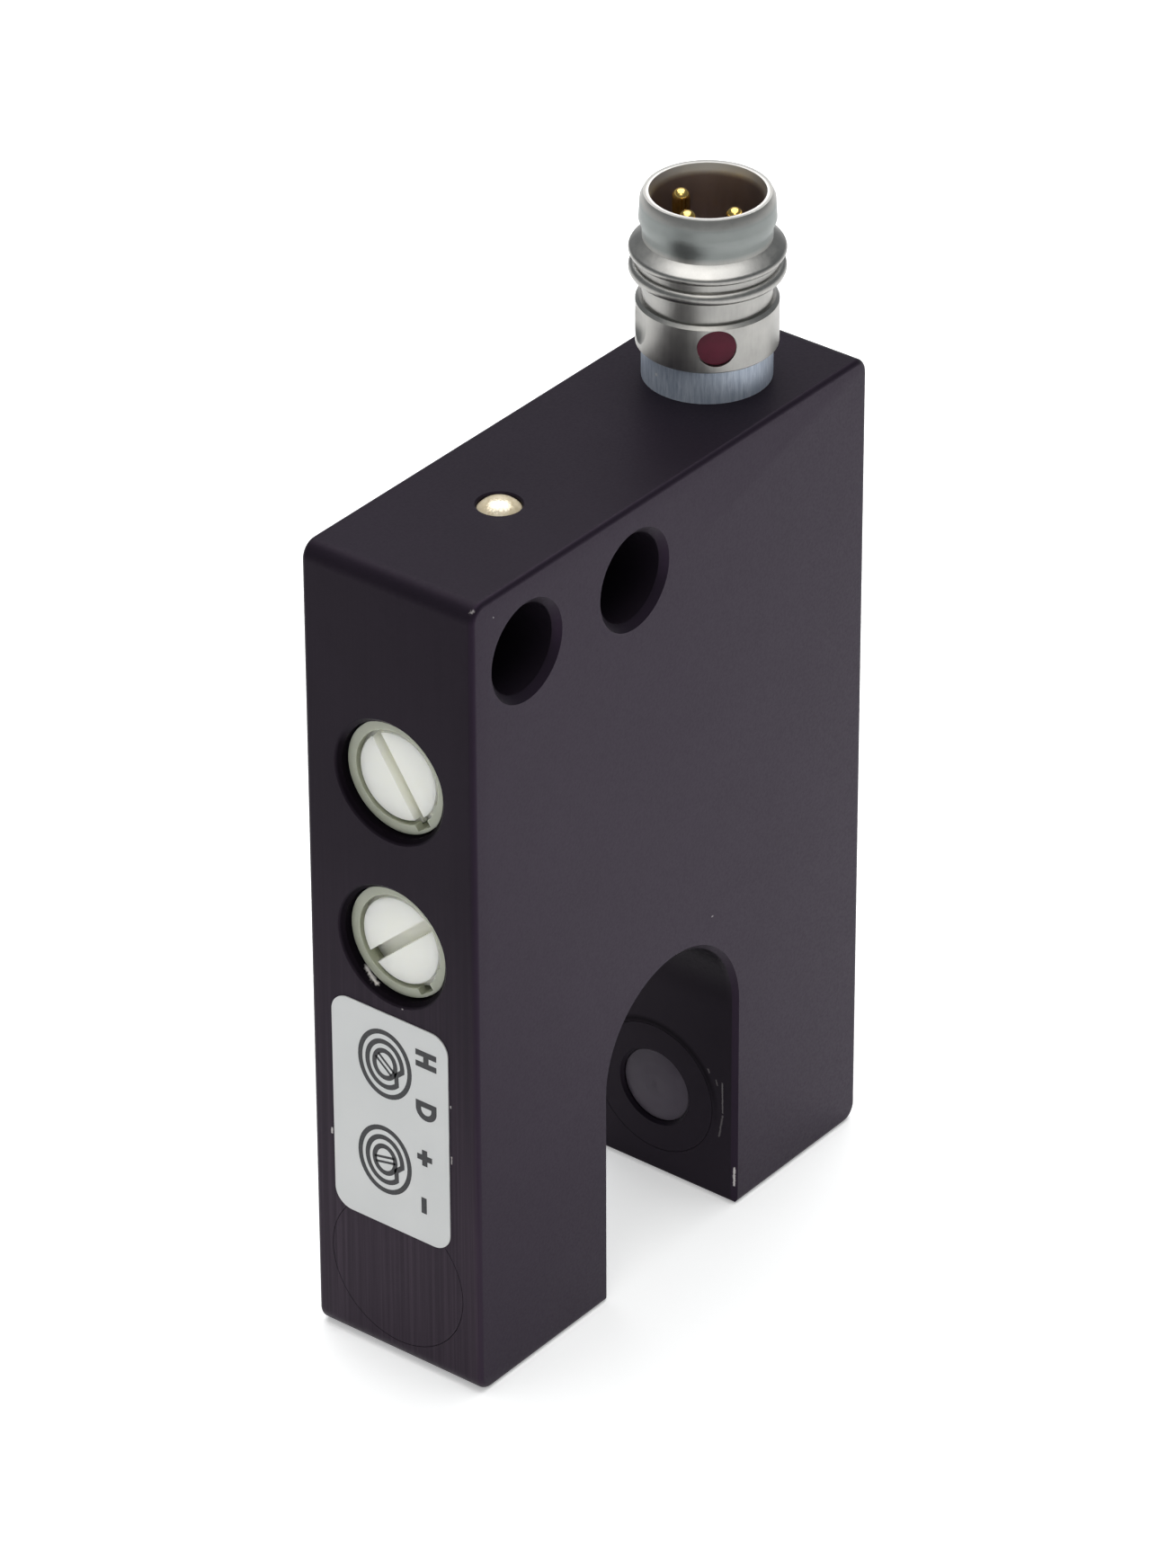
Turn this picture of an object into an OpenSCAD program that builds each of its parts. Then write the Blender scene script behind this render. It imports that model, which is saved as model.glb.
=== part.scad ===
// Optical fork sensor: a milled fork housing with a through-beam between its tines,
// two slotted trimmers and an indicator window, and a snap-in pin connector on top.
// The fork stands on the ends of its tines. +Z points up to the connector,
// -Y is the front face, and -X is the narrow face with the trimmers.
// The origin lies midway between the tine ends. All sizes are in millimetres.

/* [Housing] */
// Width of the fork across both tines
body_w = 30; // [28:0.5:36]
// Thickness of the fork from front to back
body_d = 10; // [9.6:0.1:14]
// Height of the housing without the connector
body_h = 43.5; // [42:0.5:60]
// Radius of the outer corners seen from the front
corner_r = 0.9; // [0.6:0.1:2]
// Small radius along the outline of the front and back faces
edge_r = 0.3; // [0.1:0.05:0.5]

/* [Fork opening] */
// Width of the opening between the tines
fork_w = 10; // [8:0.5:11]
// Depth of the opening up to its round crown
fork_depth = 17; // [14:0.5:18]
// Edge break along the opening
fork_break = 0.25; // [0.1:0.05:0.5]

/* [Mounting holes] */
// Diameter of the two through holes
hole_d = 4.5; // [3.2:0.1:4.8]
// Distance between the two holes
hole_pitch = 8; // [7.5:0.25:9]
// Distance of the outer hole from the dial face
hole_side = 4; // [3.5:0.25:5]
// Distance of both holes from the top face
hole_top = 4; // [3.5:0.25:5]
// Countersunk edge break of the holes
hole_break = 0.35; // [0.1:0.05:0.5]

/* [Pocket and cover] */
// Front wall left in front of the pocket
front_wall = 1.5; // [1:0.1:2]
// Wall between the pocket and the two side faces
side_wall = 3.4; // [3:0.1:3.6]
// Wall between the pocket and the inner face of each tine
tine_wall = 2.6; // [2.2:0.1:2.8]
// Wall between the pocket and the crown of the opening
crown_wall = 2.5; // [2:0.1:4]
// Wall between the pocket and the mounting holes
hole_wall = 2.65; // [2.3:0.05:4]
// Width of the ledge that carries the circuit board
board_ledge = 0.7; // [0.5:0.1:1]
// Width of the ledge that carries the cover
cover_ledge = 0.9; // [0.6:0.1:1.1]
// Corner radius of the pocket, left by the milling cutter
cutter_r = 1; // [0.6:0.1:1.5]
// Thickness of the cover
cover_t = 1.2; // [0.8:0.1:1.5]

/* [Trimmers] */
// Diameter of the two bores in the dial face
dial_d = 6; // [5.8:0.1:6.6]
// Distance of the upper dial from the top face
dial_top = 11; // [10:0.5:12]
// Distance between the two dials
dial_pitch = 9; // [8:0.5:9.5]
// Depth of the trimmers below the dial face
dial_recess = 0.6; // [0.3:0.1:0.8]
// Edge break of the dial bores
dial_break = 0.25; // [0.1:0.05:0.4]
// Wall of the trimmer case
case_wall = 0.3; // [0.25:0.05:0.35]
// Length of the trimmer case
case_len = 3.3; // [3.1:0.1:3.6]
// Thickness of the front wall of the case
case_front = 0.45; // [0.4:0.05:0.6]
// Diameter of the window in the front wall of the case
window_d = 4.85; // [4.8:0.05:4.9]
// Diameter of the slotted boss of the rotor
boss_d = 4.45; // [4.3:0.05:4.5]
// Width of the screwdriver slot
slot_w = 0.65; // [0.4:0.05:0.9]
// Depth of the screwdriver slot
slot_deep = 0.75; // [0.5:0.05:0.9]
// Slope of the upper slot, rising towards the front face
upper_slot_angle = -56; // [-90:1:90]
// Slope of the lower slot, rising towards the front face
lower_slot_angle = 42; // [-90:1:90]

/* [Optics] */
// Height of the beam above the tine ends
beam_z = 5; // [4.8:0.1:5.5]
// Diameter of the plug that closes the optical bore
plug_d = 8; // [7.9:0.1:8.4]
// Thickness of the plug
plug_t = 1.5; // [1:0.1:1.8]
// Diameter of the optical bore
barrel_d = 7.6; // [7.4:0.1:7.8]
// Diameter of the holder's nose in the opening
nose_d = 7.2; // [6.6:0.1:7.3]
// Length of the holder's nose
nose_len = 1.2; // [0.9:0.1:1.5]
// Length of the holder behind its nose
holder_len = 3; // [2.6:0.1:3.4]
// Diameter of the lens
lens_d = 4.6; // [4.2:0.1:5]
// Thickness of the lens at its edge
lens_t = 0.7; // [0.5:0.1:0.9]
// Diameter of the clear window in front of the lens
sight_d = 4; // [3.4:0.1:4.1]
// Diameter of the emitter and the receiver
diode_d = 3; // [2.8:0.1:3.1]

/* [Connector] */
// Distance of the connector axis from the side face
conn_side = 6; // [5.5:0.1:7]
// Diameter of the collar
collar_d = 6.25; // [6:0.05:6.5]
// Height of the collar above the top face
collar_h = 1.75; // [1.2:0.05:2.5]
// Diameter of the collar's spigot in the housing
spigot_d = 5.5; // [5.4:0.05:5.8]
// Length of the collar's spigot
spigot_len = 4; // [3.5:0.1:4.4]
// Diameter of the dimpled ring of the shell
ring_d = 6.8; // [6.7:0.05:7.2]
// Height of the dimpled ring
ring_h = 2.45; // [2.4:0.05:2.6]
// Diameter over the snap bead
bead_d = 7.45; // [7.3:0.05:7.7]
// Diameter of the shell's necks below and above the bead
neck_d = 6.16; // [6.1:0.02:6.3]
// Largest diameter of the lead-in at the mouth
mouth_d = 6.5; // [6.45:0.05:6.6]
// Diameter below the rim's bevel
rim_d = 6.38; // [6.3:0.02:6.44]
// Bore of the shell
shell_bore = 5.26; // [5.2:0.02:5.4]
// Height of the shell above the collar
shell_h = 7.9; // [7.7:0.05:9]
// Diameter of the dimples
dimple_d = 1.9; // [1.6:0.05:2]
// Depth of the dimples
dimple_deep = 0.35; // [0.2:0.01:0.4]
// Diameter of the flat seat that holds the index mark
mark_d = 1.9; // [1.6:0.05:2]
// Diameter of a contact pin
pin_d = 0.86; // [0.8:0.02:0.9]
// Diameter of the circle that the pins stand on
pin_circle = 3.15; // [3:0.05:3.2]
// Depth of the pin tips below the rim
pin_below_rim = 0.4; // [0.2:0.05:2]

/* [Label and indicator] */
// Width of the label
label_w = 7; // [6:0.1:7.8]
// Height of the label
label_h = 12.1; // [10:0.1:12.2]
// Thickness of the label
label_t = 0.06; // [0.04:0.01:0.1]
// Height of the label's lower edge above the tine ends
label_low = 7.55; // [7.4:0.05:7.7]
// Distance of the label's middle from the middle of the dial face, towards the back
label_shift = 0.2; // [0:0.1:0.3]
// Corner radius of the label
label_r = 1; // [0.5:0.1:1.5]
// Diameter of the indicator window
guide_d = 2.1; // [1.6:0.1:2.2]
// Distance of the indicator from the middle between the holes, towards the connector
guide_off = 0.3; // [0:0.05:0.4]
// Edge break around the indicator
guide_break = 0.1; // [0.05:0.05:0.2]
// Height of the indicator's dome above the top face
guide_rise = 0.3; // [0.1:0.05:0.4]

/* [Circuit board] */
// Thickness of the circuit board
board_t = 1; // [0.8:0.1:1.6]
// Thickness of the leads that lie on the board
lead_t = 0.5; // [0.4:0.05:0.6]
// Room for the leads between the diode and the outer wall of the pocket
lead_room = 1.8; // [1.6:0.1:2]
// Length of the leads on the board
lead_lap = 3.2; // [2:0.1:4]
// Length of the comparator chip
comparator_l = 4.9; // [4:0.1:5.2]
// Width of the comparator chip
comparator_w = 3.9; // [3:0.1:4]
// Length of the regulator chip
regulator_l = 4.5; // [3:0.1:4.8]
// Width of the regulator chip
regulator_w = 2.5; // [1.6:0.1:3.5]
// Length of the output transistor
transistor_l = 2.9; // [2:0.1:3]
// Width of the output transistor
transistor_w = 1.3; // [1:0.1:1.6]
// Height of the chips
chip_h = 1.5; // [1:0.1:1.7]
// Space between the chips
chip_space = 1.5; // [1:0.1:1.8]
// Length of a resistor
resistor_l = 1.6; // [1:0.1:2]
// Width of a resistor
resistor_w = 0.8; // [0.5:0.1:1]
// Length of a capacitor
capacitor_l = 2; // [1:0.1:2.2]
// Width and height of a capacitor
capacitor_w = 1.25; // [0.8:0.05:1.3]
// Distance between the resistors, and between the capacitors
part_pitch = 2.6; // [2.4:0.1:3]
// Gap between the rows of parts
row_gap = 0.5; // [0.3:0.1:0.6]

/* [Fits] */
// Radial gap of pieces that are bonded or pressed into a bore
fit_gap = 0.03; // [0.02:0.01:0.05]
// Radial gap of the turning rotors
run_gap = 0.07; // [0.05:0.01:0.09]
// Gap around the circuit board and the cover
edge_gap = 0.08; // [0.05:0.01:0.15]

/* [Hidden] */
$fn = 96;
small = 0.01;

// Faces of the housing
left = -body_w / 2;
right = body_w / 2;
front = -body_d / 2;
back = body_d / 2;

// Places on the faces
hole_z = body_h - hole_top;
hole_x = [left + hole_side, left + hole_side + hole_pitch];
upper_z = body_h - dial_top;
lower_z = upper_z - dial_pitch;
guide_x = (hole_x[0] + hole_x[1]) / 2 + guide_off;
conn_x = right - conn_side;
fork_crown = fork_depth - fork_w / 2;

// Pocket: its deep floor, and the outline that the two ledges widen step by step
floor_y = front + front_wall;
board_y = lead_t / 2;
cover_y = back - cover_t;
pocket_low = fork_depth + crown_wall;
pocket_top = hole_z - hole_d / 2 - hole_wall;
head_wall = 1.5;
head_half = 3.5;
head_top = body_h - spigot_len - head_wall;
head_out = body_w / 2 - side_wall;
leg_in = fork_w / 2 + tine_wall;
lead_way = beam_z + 2;
leg_low = beam_z + plug_d / 2 + 1;

// Rows of parts on the board, measured down from the top of the pocket
foot_l = 0.7;
capacitor_z = pocket_top - row_gap - capacitor_w / 2;
resistor_z = capacitor_z - capacitor_w / 2 - row_gap - resistor_w / 2;
chip_z = resistor_z - resistor_w / 2 - row_gap - foot_l - comparator_w / 2;
comparator_x = -(chip_space + comparator_l) / 2;
regulator_x = (chip_space + regulator_l) / 2;
transistor_x = regulator_x + (regulator_l + transistor_l) / 2 + chip_space;

// Trimmers, measured from the front face of their cases
case_d = dial_d - 2 * 0.1;
case_x = left + dial_recess;
case_bore = case_d - 2 * case_wall;
case_back = case_x + case_len;
axial_gap = 0.08;
flange_x = case_x + case_front + axial_gap;
flange_t = 0.7;
flange_d = case_bore - 2 * run_gap;
boss_x = case_x + axial_gap;
base_t = 1.3;
base_x = case_back - base_t;
pivot_d = 1.4;
stop_angle = -22;
key_angle = -54;
wiper_t = 0.15;
track_r = (pivot_d + flange_d) / 4;

// Optical stack, measured from the inner face of a tine
lens_seat = 0.5;
lens_back = lens_seat + lens_t;
lens_rise = 0.42;
diode_tip = lens_back + 0.25;
diode_flange_d = lens_d + 0.6;
diode_flange_t = 0.6;
holder_back = nose_len + holder_len;
diode_back = holder_back + diode_flange_t;
leg_out = fork_w / 2 + diode_back + lead_room;
lead_pitch = 1.27;
lead_step = 0.9;
lead_top = leg_low + lead_lap;

// Connector, measured from the top face
conn_z = body_h;
shell_low = collar_h;
rim_z = shell_low + shell_h;
ring_top = shell_low + ring_h;
tube_d = 5;
tube_bore = 4.2;
insert_low = shell_low + 1.55;
insert_top = insert_low + 1;
insert_foot = 0.5 - spigot_len;
tail_low = -spigot_len - 0.3;
pin_angles = [90, 180, 270];
dimple_z = shell_low + ring_h / 2 + 0.1;
dimple_angles = [55, 145, 325];
dimple_ball = (dimple_d * dimple_d / 4 + dimple_deep * dimple_deep) / (2 * dimple_deep);
dimple_out = ring_d / 2 - dimple_deep + dimple_ball;
mark_angle = 225;
mark_deep = 0.3;
mark_t = 0.14;
seal_d = 0.4;
seal_r = spigot_d / 2 - seal_d / 2 + fit_gap / 2;
seal_z = -spigot_len / 2;
wire_d = 0.4;
wire_low = head_top - 1.4;

// Rectangle between two corners, with round corners
module round_rect(low, high, r) {
    size = high - low;
    translate(low + [r, 0]) square(size - [2 * r, 0]);
    translate(low + [0, r]) square(size - [0, 2 * r]);
    for (x = [low.x + r, high.x - r], y = [low.y + r, high.y - r])
        translate([x, y]) circle(r);
}

// Extrudes a plan drawn in X and Z from one depth to another
module across(y0, y1) {
    translate([0, y1, 0]) rotate([90, 0, 0]) linear_extrude(y1 - y0) children();
}

// Lays a shape that is drawn along +Z so that it points along +X
module along_x() {
    rotate([0, 90, 0]) children();
}

// Turns a shape that lies along +X so that its +Y side points up the given slope on the dial face
module up_slope(angle) {
    rotate(180 - angle) children();
}

// Places a shape drawn from x = 0 outwards into the tine at the given side
module in_tine(side) {
    mirror([side < 0 ? 1 : 0, 0, 0]) translate([fork_w / 2, 0, beam_z]) children();
}

// Block with round corners seen from the front and a small radius along both face outlines
module soft_block() {
    reach = body_w / 2 - corner_r;
    translate([-reach, 0, 0]) rotate([90, 0, 90]) linear_extrude(2 * reach)
        round_rect([front, 0], [back, body_h], edge_r);
    translate([0, 0, corner_r]) linear_extrude(body_h - 2 * corner_r)
        round_rect([left, front], [right, back], edge_r);
    for (x = [-reach, reach], z = [corner_r, body_h - corner_r])
        translate([x, 0, z]) rotate([90, 0, 0]) rotate_extrude()
            intersection() {
                round_rect([-corner_r, front], [corner_r, back], edge_r);
                translate([0, front]) square([corner_r, body_d]);
            }
}

// Opening between the tines, with broken edges on both faces
module fork_cut() {
    half = fork_w / 2;
    across(front - 1, back + 1) {
        translate([-half, -1]) square([fork_w, fork_crown + 1]);
        translate([0, fork_crown]) circle(half);
    }
    for (side = [-1, 1]) {
        translate([0, side * back, fork_crown]) rotate([90 * side, 0, 0])
            translate([0, 0, -small])
                cylinder(h = fork_break + small, r1 = half + fork_break + small, r2 = half);
        for (tine = [-1, 1])
            translate([tine * half, side * back, -1]) linear_extrude(fork_crown + 1)
                polygon([[-fork_break, 0], [0, -fork_break], [fork_break, 0], [0, fork_break]]);
    }
    for (tine = [-1, 1])
        across(front - 1, back + 1) translate([tine * half, 0])
            polygon([[-fork_break, 0], [0, -fork_break], [fork_break, 0], [0, fork_break]]);
}

// Mounting holes with countersunk edges
module hole_cuts() {
    for (x = hole_x) {
        across(front - 1, back + 1) translate([x, hole_z]) circle(d = hole_d);
        for (side = [-1, 1])
            translate([x, side * back, hole_z]) rotate([90 * side, 0, 0]) translate([0, 0, -small])
                cylinder(h = hole_break + small, d1 = hole_d + 2 * (hole_break + small), d2 = hole_d);
    }
}

// Bores of the two trimmers, open to the pocket
module dial_cuts() {
    for (z = [upper_z, lower_z])
        translate([left, 0, z]) along_x() {
            translate([0, 0, -1]) cylinder(h = side_wall + 2, d = dial_d);
            translate([0, 0, -small])
                cylinder(h = dial_break + small, d1 = dial_d + 2 * (dial_break + small), d2 = dial_d);
        }
}

// Stepped optical bore of one tine: nose, barrel and plug seat
module beam_cut(side) {
    tine = (body_w - fork_w) / 2;
    in_tine(side) along_x() {
        translate([0, 0, -1]) cylinder(h = tine + 1, d = nose_d);
        translate([0, 0, nose_len]) cylinder(h = tine - nose_len, d = barrel_d);
        translate([0, 0, tine - plug_t]) cylinder(h = plug_t + 1, d = plug_d);
    }
}

// Fork-shaped plan of the pocket, widened by the ledges
module pocket_plan(grow, legs) {
    r = cutter_r;
    low = pocket_low - grow;
    outer = head_out + grow;
    round_rect([-outer, low], [outer, pocket_top + grow], r);
    round_rect([conn_x - head_half - grow, low], [outer, head_top + grow], r);
    for (side = [0, 1])
        mirror([side, 0]) round_rect([leg_in - grow, legs], [leg_out + grow, pocket_low + 3 * r], r);
}

// Pocket with the two ledges, milled from the back
module pocket_cut() {
    across(floor_y, board_y + small) pocket_plan(0, lead_way);
    across(board_y, back) pocket_plan(board_ledge, leg_low);
    across(cover_y, back + 1) pocket_plan(board_ledge + cover_ledge, leg_low - cover_ledge);
}

// Seat of the connector collar and the way of its wires into the pocket
module connector_cut() {
    translate([conn_x, 0, conn_z - spigot_len]) cylinder(h = spigot_len + 1, d = spigot_d + 2 * fit_gap);
    translate([conn_x, 0, head_top - 1]) cylinder(h = head_wall + 2, d = tube_bore);
}

// Bore of the indicator window
module guide_cut() {
    translate([guide_x, 0, pocket_top - 1]) cylinder(h = body_h - pocket_top + 2, d = guide_d + 2 * fit_gap);
    translate([guide_x, 0, body_h - guide_break])
        cylinder(h = guide_break + small, d1 = guide_d, d2 = guide_d + 2 * (guide_break + small));
}

module housing() {
    color("#35323a") difference() {
        soft_block();
        fork_cut();
        hole_cuts();
        dial_cuts();
        beam_cut(-1);
        beam_cut(1);
        pocket_cut();
        connector_cut();
        guide_cut();
    }
}

module rear_cover() {
    grow = board_ledge + cover_ledge - edge_gap;
    color("#302e35") across(cover_y, back) pocket_plan(grow, leg_low - cover_ledge + edge_gap);
}

// Plug that closes an optical bore flush with the side face
module bore_plug(side) {
    tine = (body_w - fork_w) / 2;
    in_tine(side) along_x() translate([0, 0, tine - plug_t])
        cylinder(h = plug_t, d = plug_d - 2 * fit_gap);
}

module emitter_plug() { color("#343138") bore_plug(-1); }
module receiver_plug() { color("#343138") bore_plug(1); }

// Turned holder: a nose with a broken inner edge, a seat for the lens and a bore for the diode
module beam_holder(side) {
    dish = 0.15;
    wall = barrel_d / 2 - fit_gap;
    in_tine(side) along_x() difference() {
        union() {
            cylinder(h = nose_len + small, d = nose_d - 2 * fit_gap);
            translate([0, 0, nose_len]) cylinder(h = holder_len, r = wall);
        }
        translate([0, 0, -1]) cylinder(h = lens_seat + 2, d = sight_d);
        translate([0, 0, -small])
            cylinder(h = dish + small, d1 = sight_d + 2 * (dish + small), d2 = sight_d);
        translate([0, 0, lens_seat]) cylinder(h = holder_back, d = lens_d + 2 * fit_gap);
    }
}

module emitter_holder() { color("#26242a") beam_holder(-1); }
module receiver_holder() { color("#26242a") beam_holder(1); }

// Plano-convex lens that fills the holder's window with its low dome towards the opening
module beam_lens(side) {
    dome_r = sight_d / 2 - fit_gap;
    dome = 0.15;
    ball = (dome_r * dome_r + dome * dome) / (2 * dome);
    in_tine(side) along_x() {
        translate([0, 0, lens_seat]) cylinder(h = lens_t, d = lens_d);
        intersection() {
            translate([0, 0, lens_seat - lens_rise]) cylinder(h = lens_rise + lens_t / 2, r = dome_r);
            translate([0, 0, lens_seat - lens_rise + ball]) sphere(ball);
        }
    }
}

module emitter_lens() { color("#5b575c", 0.8) beam_lens(-1); }
module receiver_lens() { color("#5b575c", 0.8) beam_lens(1); }

// Domed diode with a flange against the holder, and two leads that turn up to the board
module beam_diode(side) {
    straight = holder_back - diode_tip - diode_d / 2;
    in_tine(side) {
        along_x() {
            translate([0, 0, diode_tip + diode_d / 2]) {
                cylinder(h = straight, d = diode_d);
                sphere(d = diode_d);
            }
            translate([0, 0, holder_back]) cylinder(h = diode_flange_t, d = diode_flange_d);
        }
        for (k = [0, 1]) {
            z = lead_pitch * (k == 0 ? 1 : -1);
            reach = diode_back + lead_t + lead_step * k;
            translate([diode_back - small, -lead_t / 2, z - lead_t / 2])
                cube([reach - diode_back + small, lead_t, lead_t]);
            translate([reach - lead_t, -lead_t / 2, z - lead_t / 2])
                cube([lead_t, lead_t, lead_top - beam_z - z + lead_t / 2]);
        }
    }
}

module emitter_led() { color("#7d8aa8") beam_diode(-1); }
module receiver_diode() { color("#3d3547") beam_diode(1); }

// Fork-shaped board on its ledge, notched for the two trimmers
module circuit_board() {
    notch = case_back + edge_gap;
    color("#2f6b45") difference() {
        across(board_y, board_y + board_t) pocket_plan(board_ledge - edge_gap, leg_low + edge_gap);
        for (z = [upper_z, lower_z])
            across(board_y - 1, board_y + board_t + 1)
                translate([left, z - dial_d / 2]) square([notch - left, dial_d]);
    }
}

// Chip on the front side of the board, with a row of feet along both long sides
module board_chip(x, z, size, height, feet, pitch) {
    foot = [0.4, 0.25, foot_l];
    translate([x - size.x / 2, board_y - height, z - size.y / 2]) cube([size.x, height, size.y]);
    for (k = [0 : feet - 1], side = [-1, 1])
        translate([x + (k - (feet - 1) / 2) * pitch - foot.x / 2, board_y - foot.y,
                   z + side * (size.y / 2 + foot.z / 2 - small) - foot.z / 2])
            cube(foot);
}

// Small two-ended parts on the front side of the board
module board_row(places, size) {
    for (p = places)
        translate([p.x - size.x / 2, board_y - size.y, p.y - size.z / 2]) cube(size);
}

module comparator_chip() {
    color("#222226") board_chip(comparator_x, chip_z, [comparator_l, comparator_w], chip_h, 4, 1.27);
}

module regulator_chip() {
    color("#222226") board_chip(regulator_x, chip_z, [regulator_l, regulator_w], chip_h, 3, 1.5);
}

module output_transistor() {
    color("#222226") board_chip(transistor_x, chip_z, [transistor_l, transistor_w], chip_h, 2, 1.9);
}

module chip_resistors() {
    places = [for (k = [-2 : 3]) [k * part_pitch, resistor_z]];
    color("#1c1c1f") board_row(places, [resistor_l, resistor_w / 2, resistor_w]);
}

module chip_capacitors() {
    places = [for (k = [0 : 2]) [k * part_pitch, capacitor_z]];
    color("#a88b66") board_row(places, [capacitor_l, capacitor_w, capacitor_w]);
}

module status_led() {
    size = [1.6, 0.9, 0.9];
    color("#efe6c8") board_row([[guide_x, pocket_top - size.z / 2 - 0.2]], size);
}

// Trimmer case: a cup with a keyed window in its front wall and a stop lug beside the key
module trimmer_case(z) {
    key_w = 0.9;
    key_r = window_d / 2 + 0.3;
    lug_w = 0.6;
    lug_r = boss_d / 2 + 0.12;
    translate([case_x, 0, z]) {
        along_x() difference() {
            cylinder(h = case_len, d = case_d);
            translate([0, 0, case_front]) cylinder(h = case_len, d = case_bore);
            translate([0, 0, -1]) cylinder(h = case_front + 2, d = window_d);
            up_slope(key_angle) translate([-key_w / 2, 0, -1]) cube([key_w, key_r, case_front + 2]);
        }
        along_x() intersection() {
            up_slope(stop_angle) translate([-lug_w / 2, lug_r, 0]) cube([lug_w, case_d / 2, case_front]);
            cylinder(h = case_front, d = case_d - case_wall);
        }
    }
}

module upper_case() { color("#a2a493", 0.9) trimmer_case(upper_z); }
module lower_case() { color("#a2a493", 0.9) trimmer_case(lower_z); }

// Rotor: a flange under the case front, a slotted boss in the window and a pivot behind
module trimmer_rotor(z, slope) {
    translate([0, 0, z]) rotate([-slope, 0, 0]) difference() {
        along_x() {
            translate([0, 0, flange_x]) cylinder(h = flange_t, d = flange_d);
            translate([0, 0, boss_x]) cylinder(h = flange_x - boss_x + small, d = boss_d);
            translate([0, 0, flange_x]) cylinder(h = case_back - 0.4 - flange_x, d = pivot_d);
        }
        translate([boss_x - 1, -boss_d, -slot_w / 2]) cube([slot_deep + 1, 2 * boss_d, slot_w]);
    }
}

module upper_rotor() { color("#e8e9e2") trimmer_rotor(upper_z, upper_slot_angle); }
module lower_rotor() { color("#e8e9e2") trimmer_rotor(lower_z, lower_slot_angle); }

// Track carrier that closes the back of the case and guides the pivot
module trimmer_base(z) {
    translate([base_x, 0, z]) along_x() difference() {
        cylinder(h = base_t, d = case_bore - 2 * fit_gap);
        translate([0, 0, -1]) cylinder(h = base_t + 2, d = pivot_d + 2 * run_gap);
    }
}

module upper_base() { color("#4b4038") trimmer_base(upper_z); }
module lower_base() { color("#4b4038") trimmer_base(lower_z); }

// Wiper: a spring washer behind the flange with one contact finger over the track
module trimmer_wiper(z, slope) {
    start = flange_x + flange_t;
    finger_d = 0.6;
    translate([start, 0, z]) rotate([-slope, 0, 0]) along_x() {
        difference() {
            cylinder(h = wiper_t, d = flange_d - 0.4);
            translate([0, 0, -1]) cylinder(h = wiper_t + 2, d = pivot_d + 2 * fit_gap);
        }
        translate([0, track_r, 0]) cylinder(h = base_x - start - fit_gap, d = finger_d);
    }
}

module upper_wiper() { color("#b98a4a") trimmer_wiper(upper_z, upper_slot_angle); }
module lower_wiper() { color("#b98a4a") trimmer_wiper(lower_z, lower_slot_angle); }

// Solder legs from the back of the trimmer to the front side of the board
module trimmer_legs(z) {
    leg_w = 0.6;
    leg_t = 0.25;
    reach = 2;
    for (k = [-1, 0, 1])
        translate([case_back, board_y - leg_t, z + 1.6 * k - leg_w / 2]) cube([reach, leg_t, leg_w]);
}

module upper_legs() { color("silver") trimmer_legs(upper_z); }
module lower_legs() { color("silver") trimmer_legs(lower_z); }

module adjuster_label() {
    color("#c6cac8") translate([left - label_t, 0, 0]) rotate([90, 0, 90]) linear_extrude(label_t)
        round_rect([label_shift - label_w / 2, label_low],
                   [label_shift + label_w / 2, label_low + label_h], label_r);
}

// Clear pin that leads the indicator light up to the top face, with a low dome
module light_guide() {
    low = pocket_top + board_ledge + edge_gap;
    dome = 0.5;
    top = body_h + guide_rise;
    r = guide_d / 2;
    ball = (r * r + dome * dome) / (2 * dome);
    color("#fdf2d8", 0.9) translate([guide_x, 0, 0]) {
        translate([0, 0, low]) cylinder(h = top - dome - low, r = r);
        intersection() {
            translate([0, 0, top - dome - small]) cylinder(h = dome + small, r = r);
            translate([0, 0, top - ball]) sphere(ball);
        }
    }
}

// Collar with a spigot in the housing, a seal groove and a tube that carries the shell
module connector_collar() {
    groove = seal_d + 0.1;
    turn = 0.15;
    color("#8592a3") translate([conn_x, 0, conn_z]) difference() {
        union() {
            cylinder(h = collar_h, d = collar_d);
            translate([0, 0, -spigot_len]) cylinder(h = spigot_len + small, d = spigot_d);
            cylinder(h = insert_low, d = tube_d);
        }
        translate([0, 0, -spigot_len - 1]) cylinder(h = spigot_len + insert_low + 2, d = tube_bore);
        translate([0, 0, seal_z - groove / 2]) difference() {
            cylinder(h = groove, d = spigot_d + 1);
            translate([0, 0, -1]) cylinder(h = groove + 2, r = seal_r - seal_d / 2 - fit_gap / 2);
        }
    }
}

module collar_seal() {
    color("#1d1d1f") translate([conn_x, 0, conn_z + seal_z])
        rotate_extrude() translate([seal_r, 0]) circle(d = seal_d);
}

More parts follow.
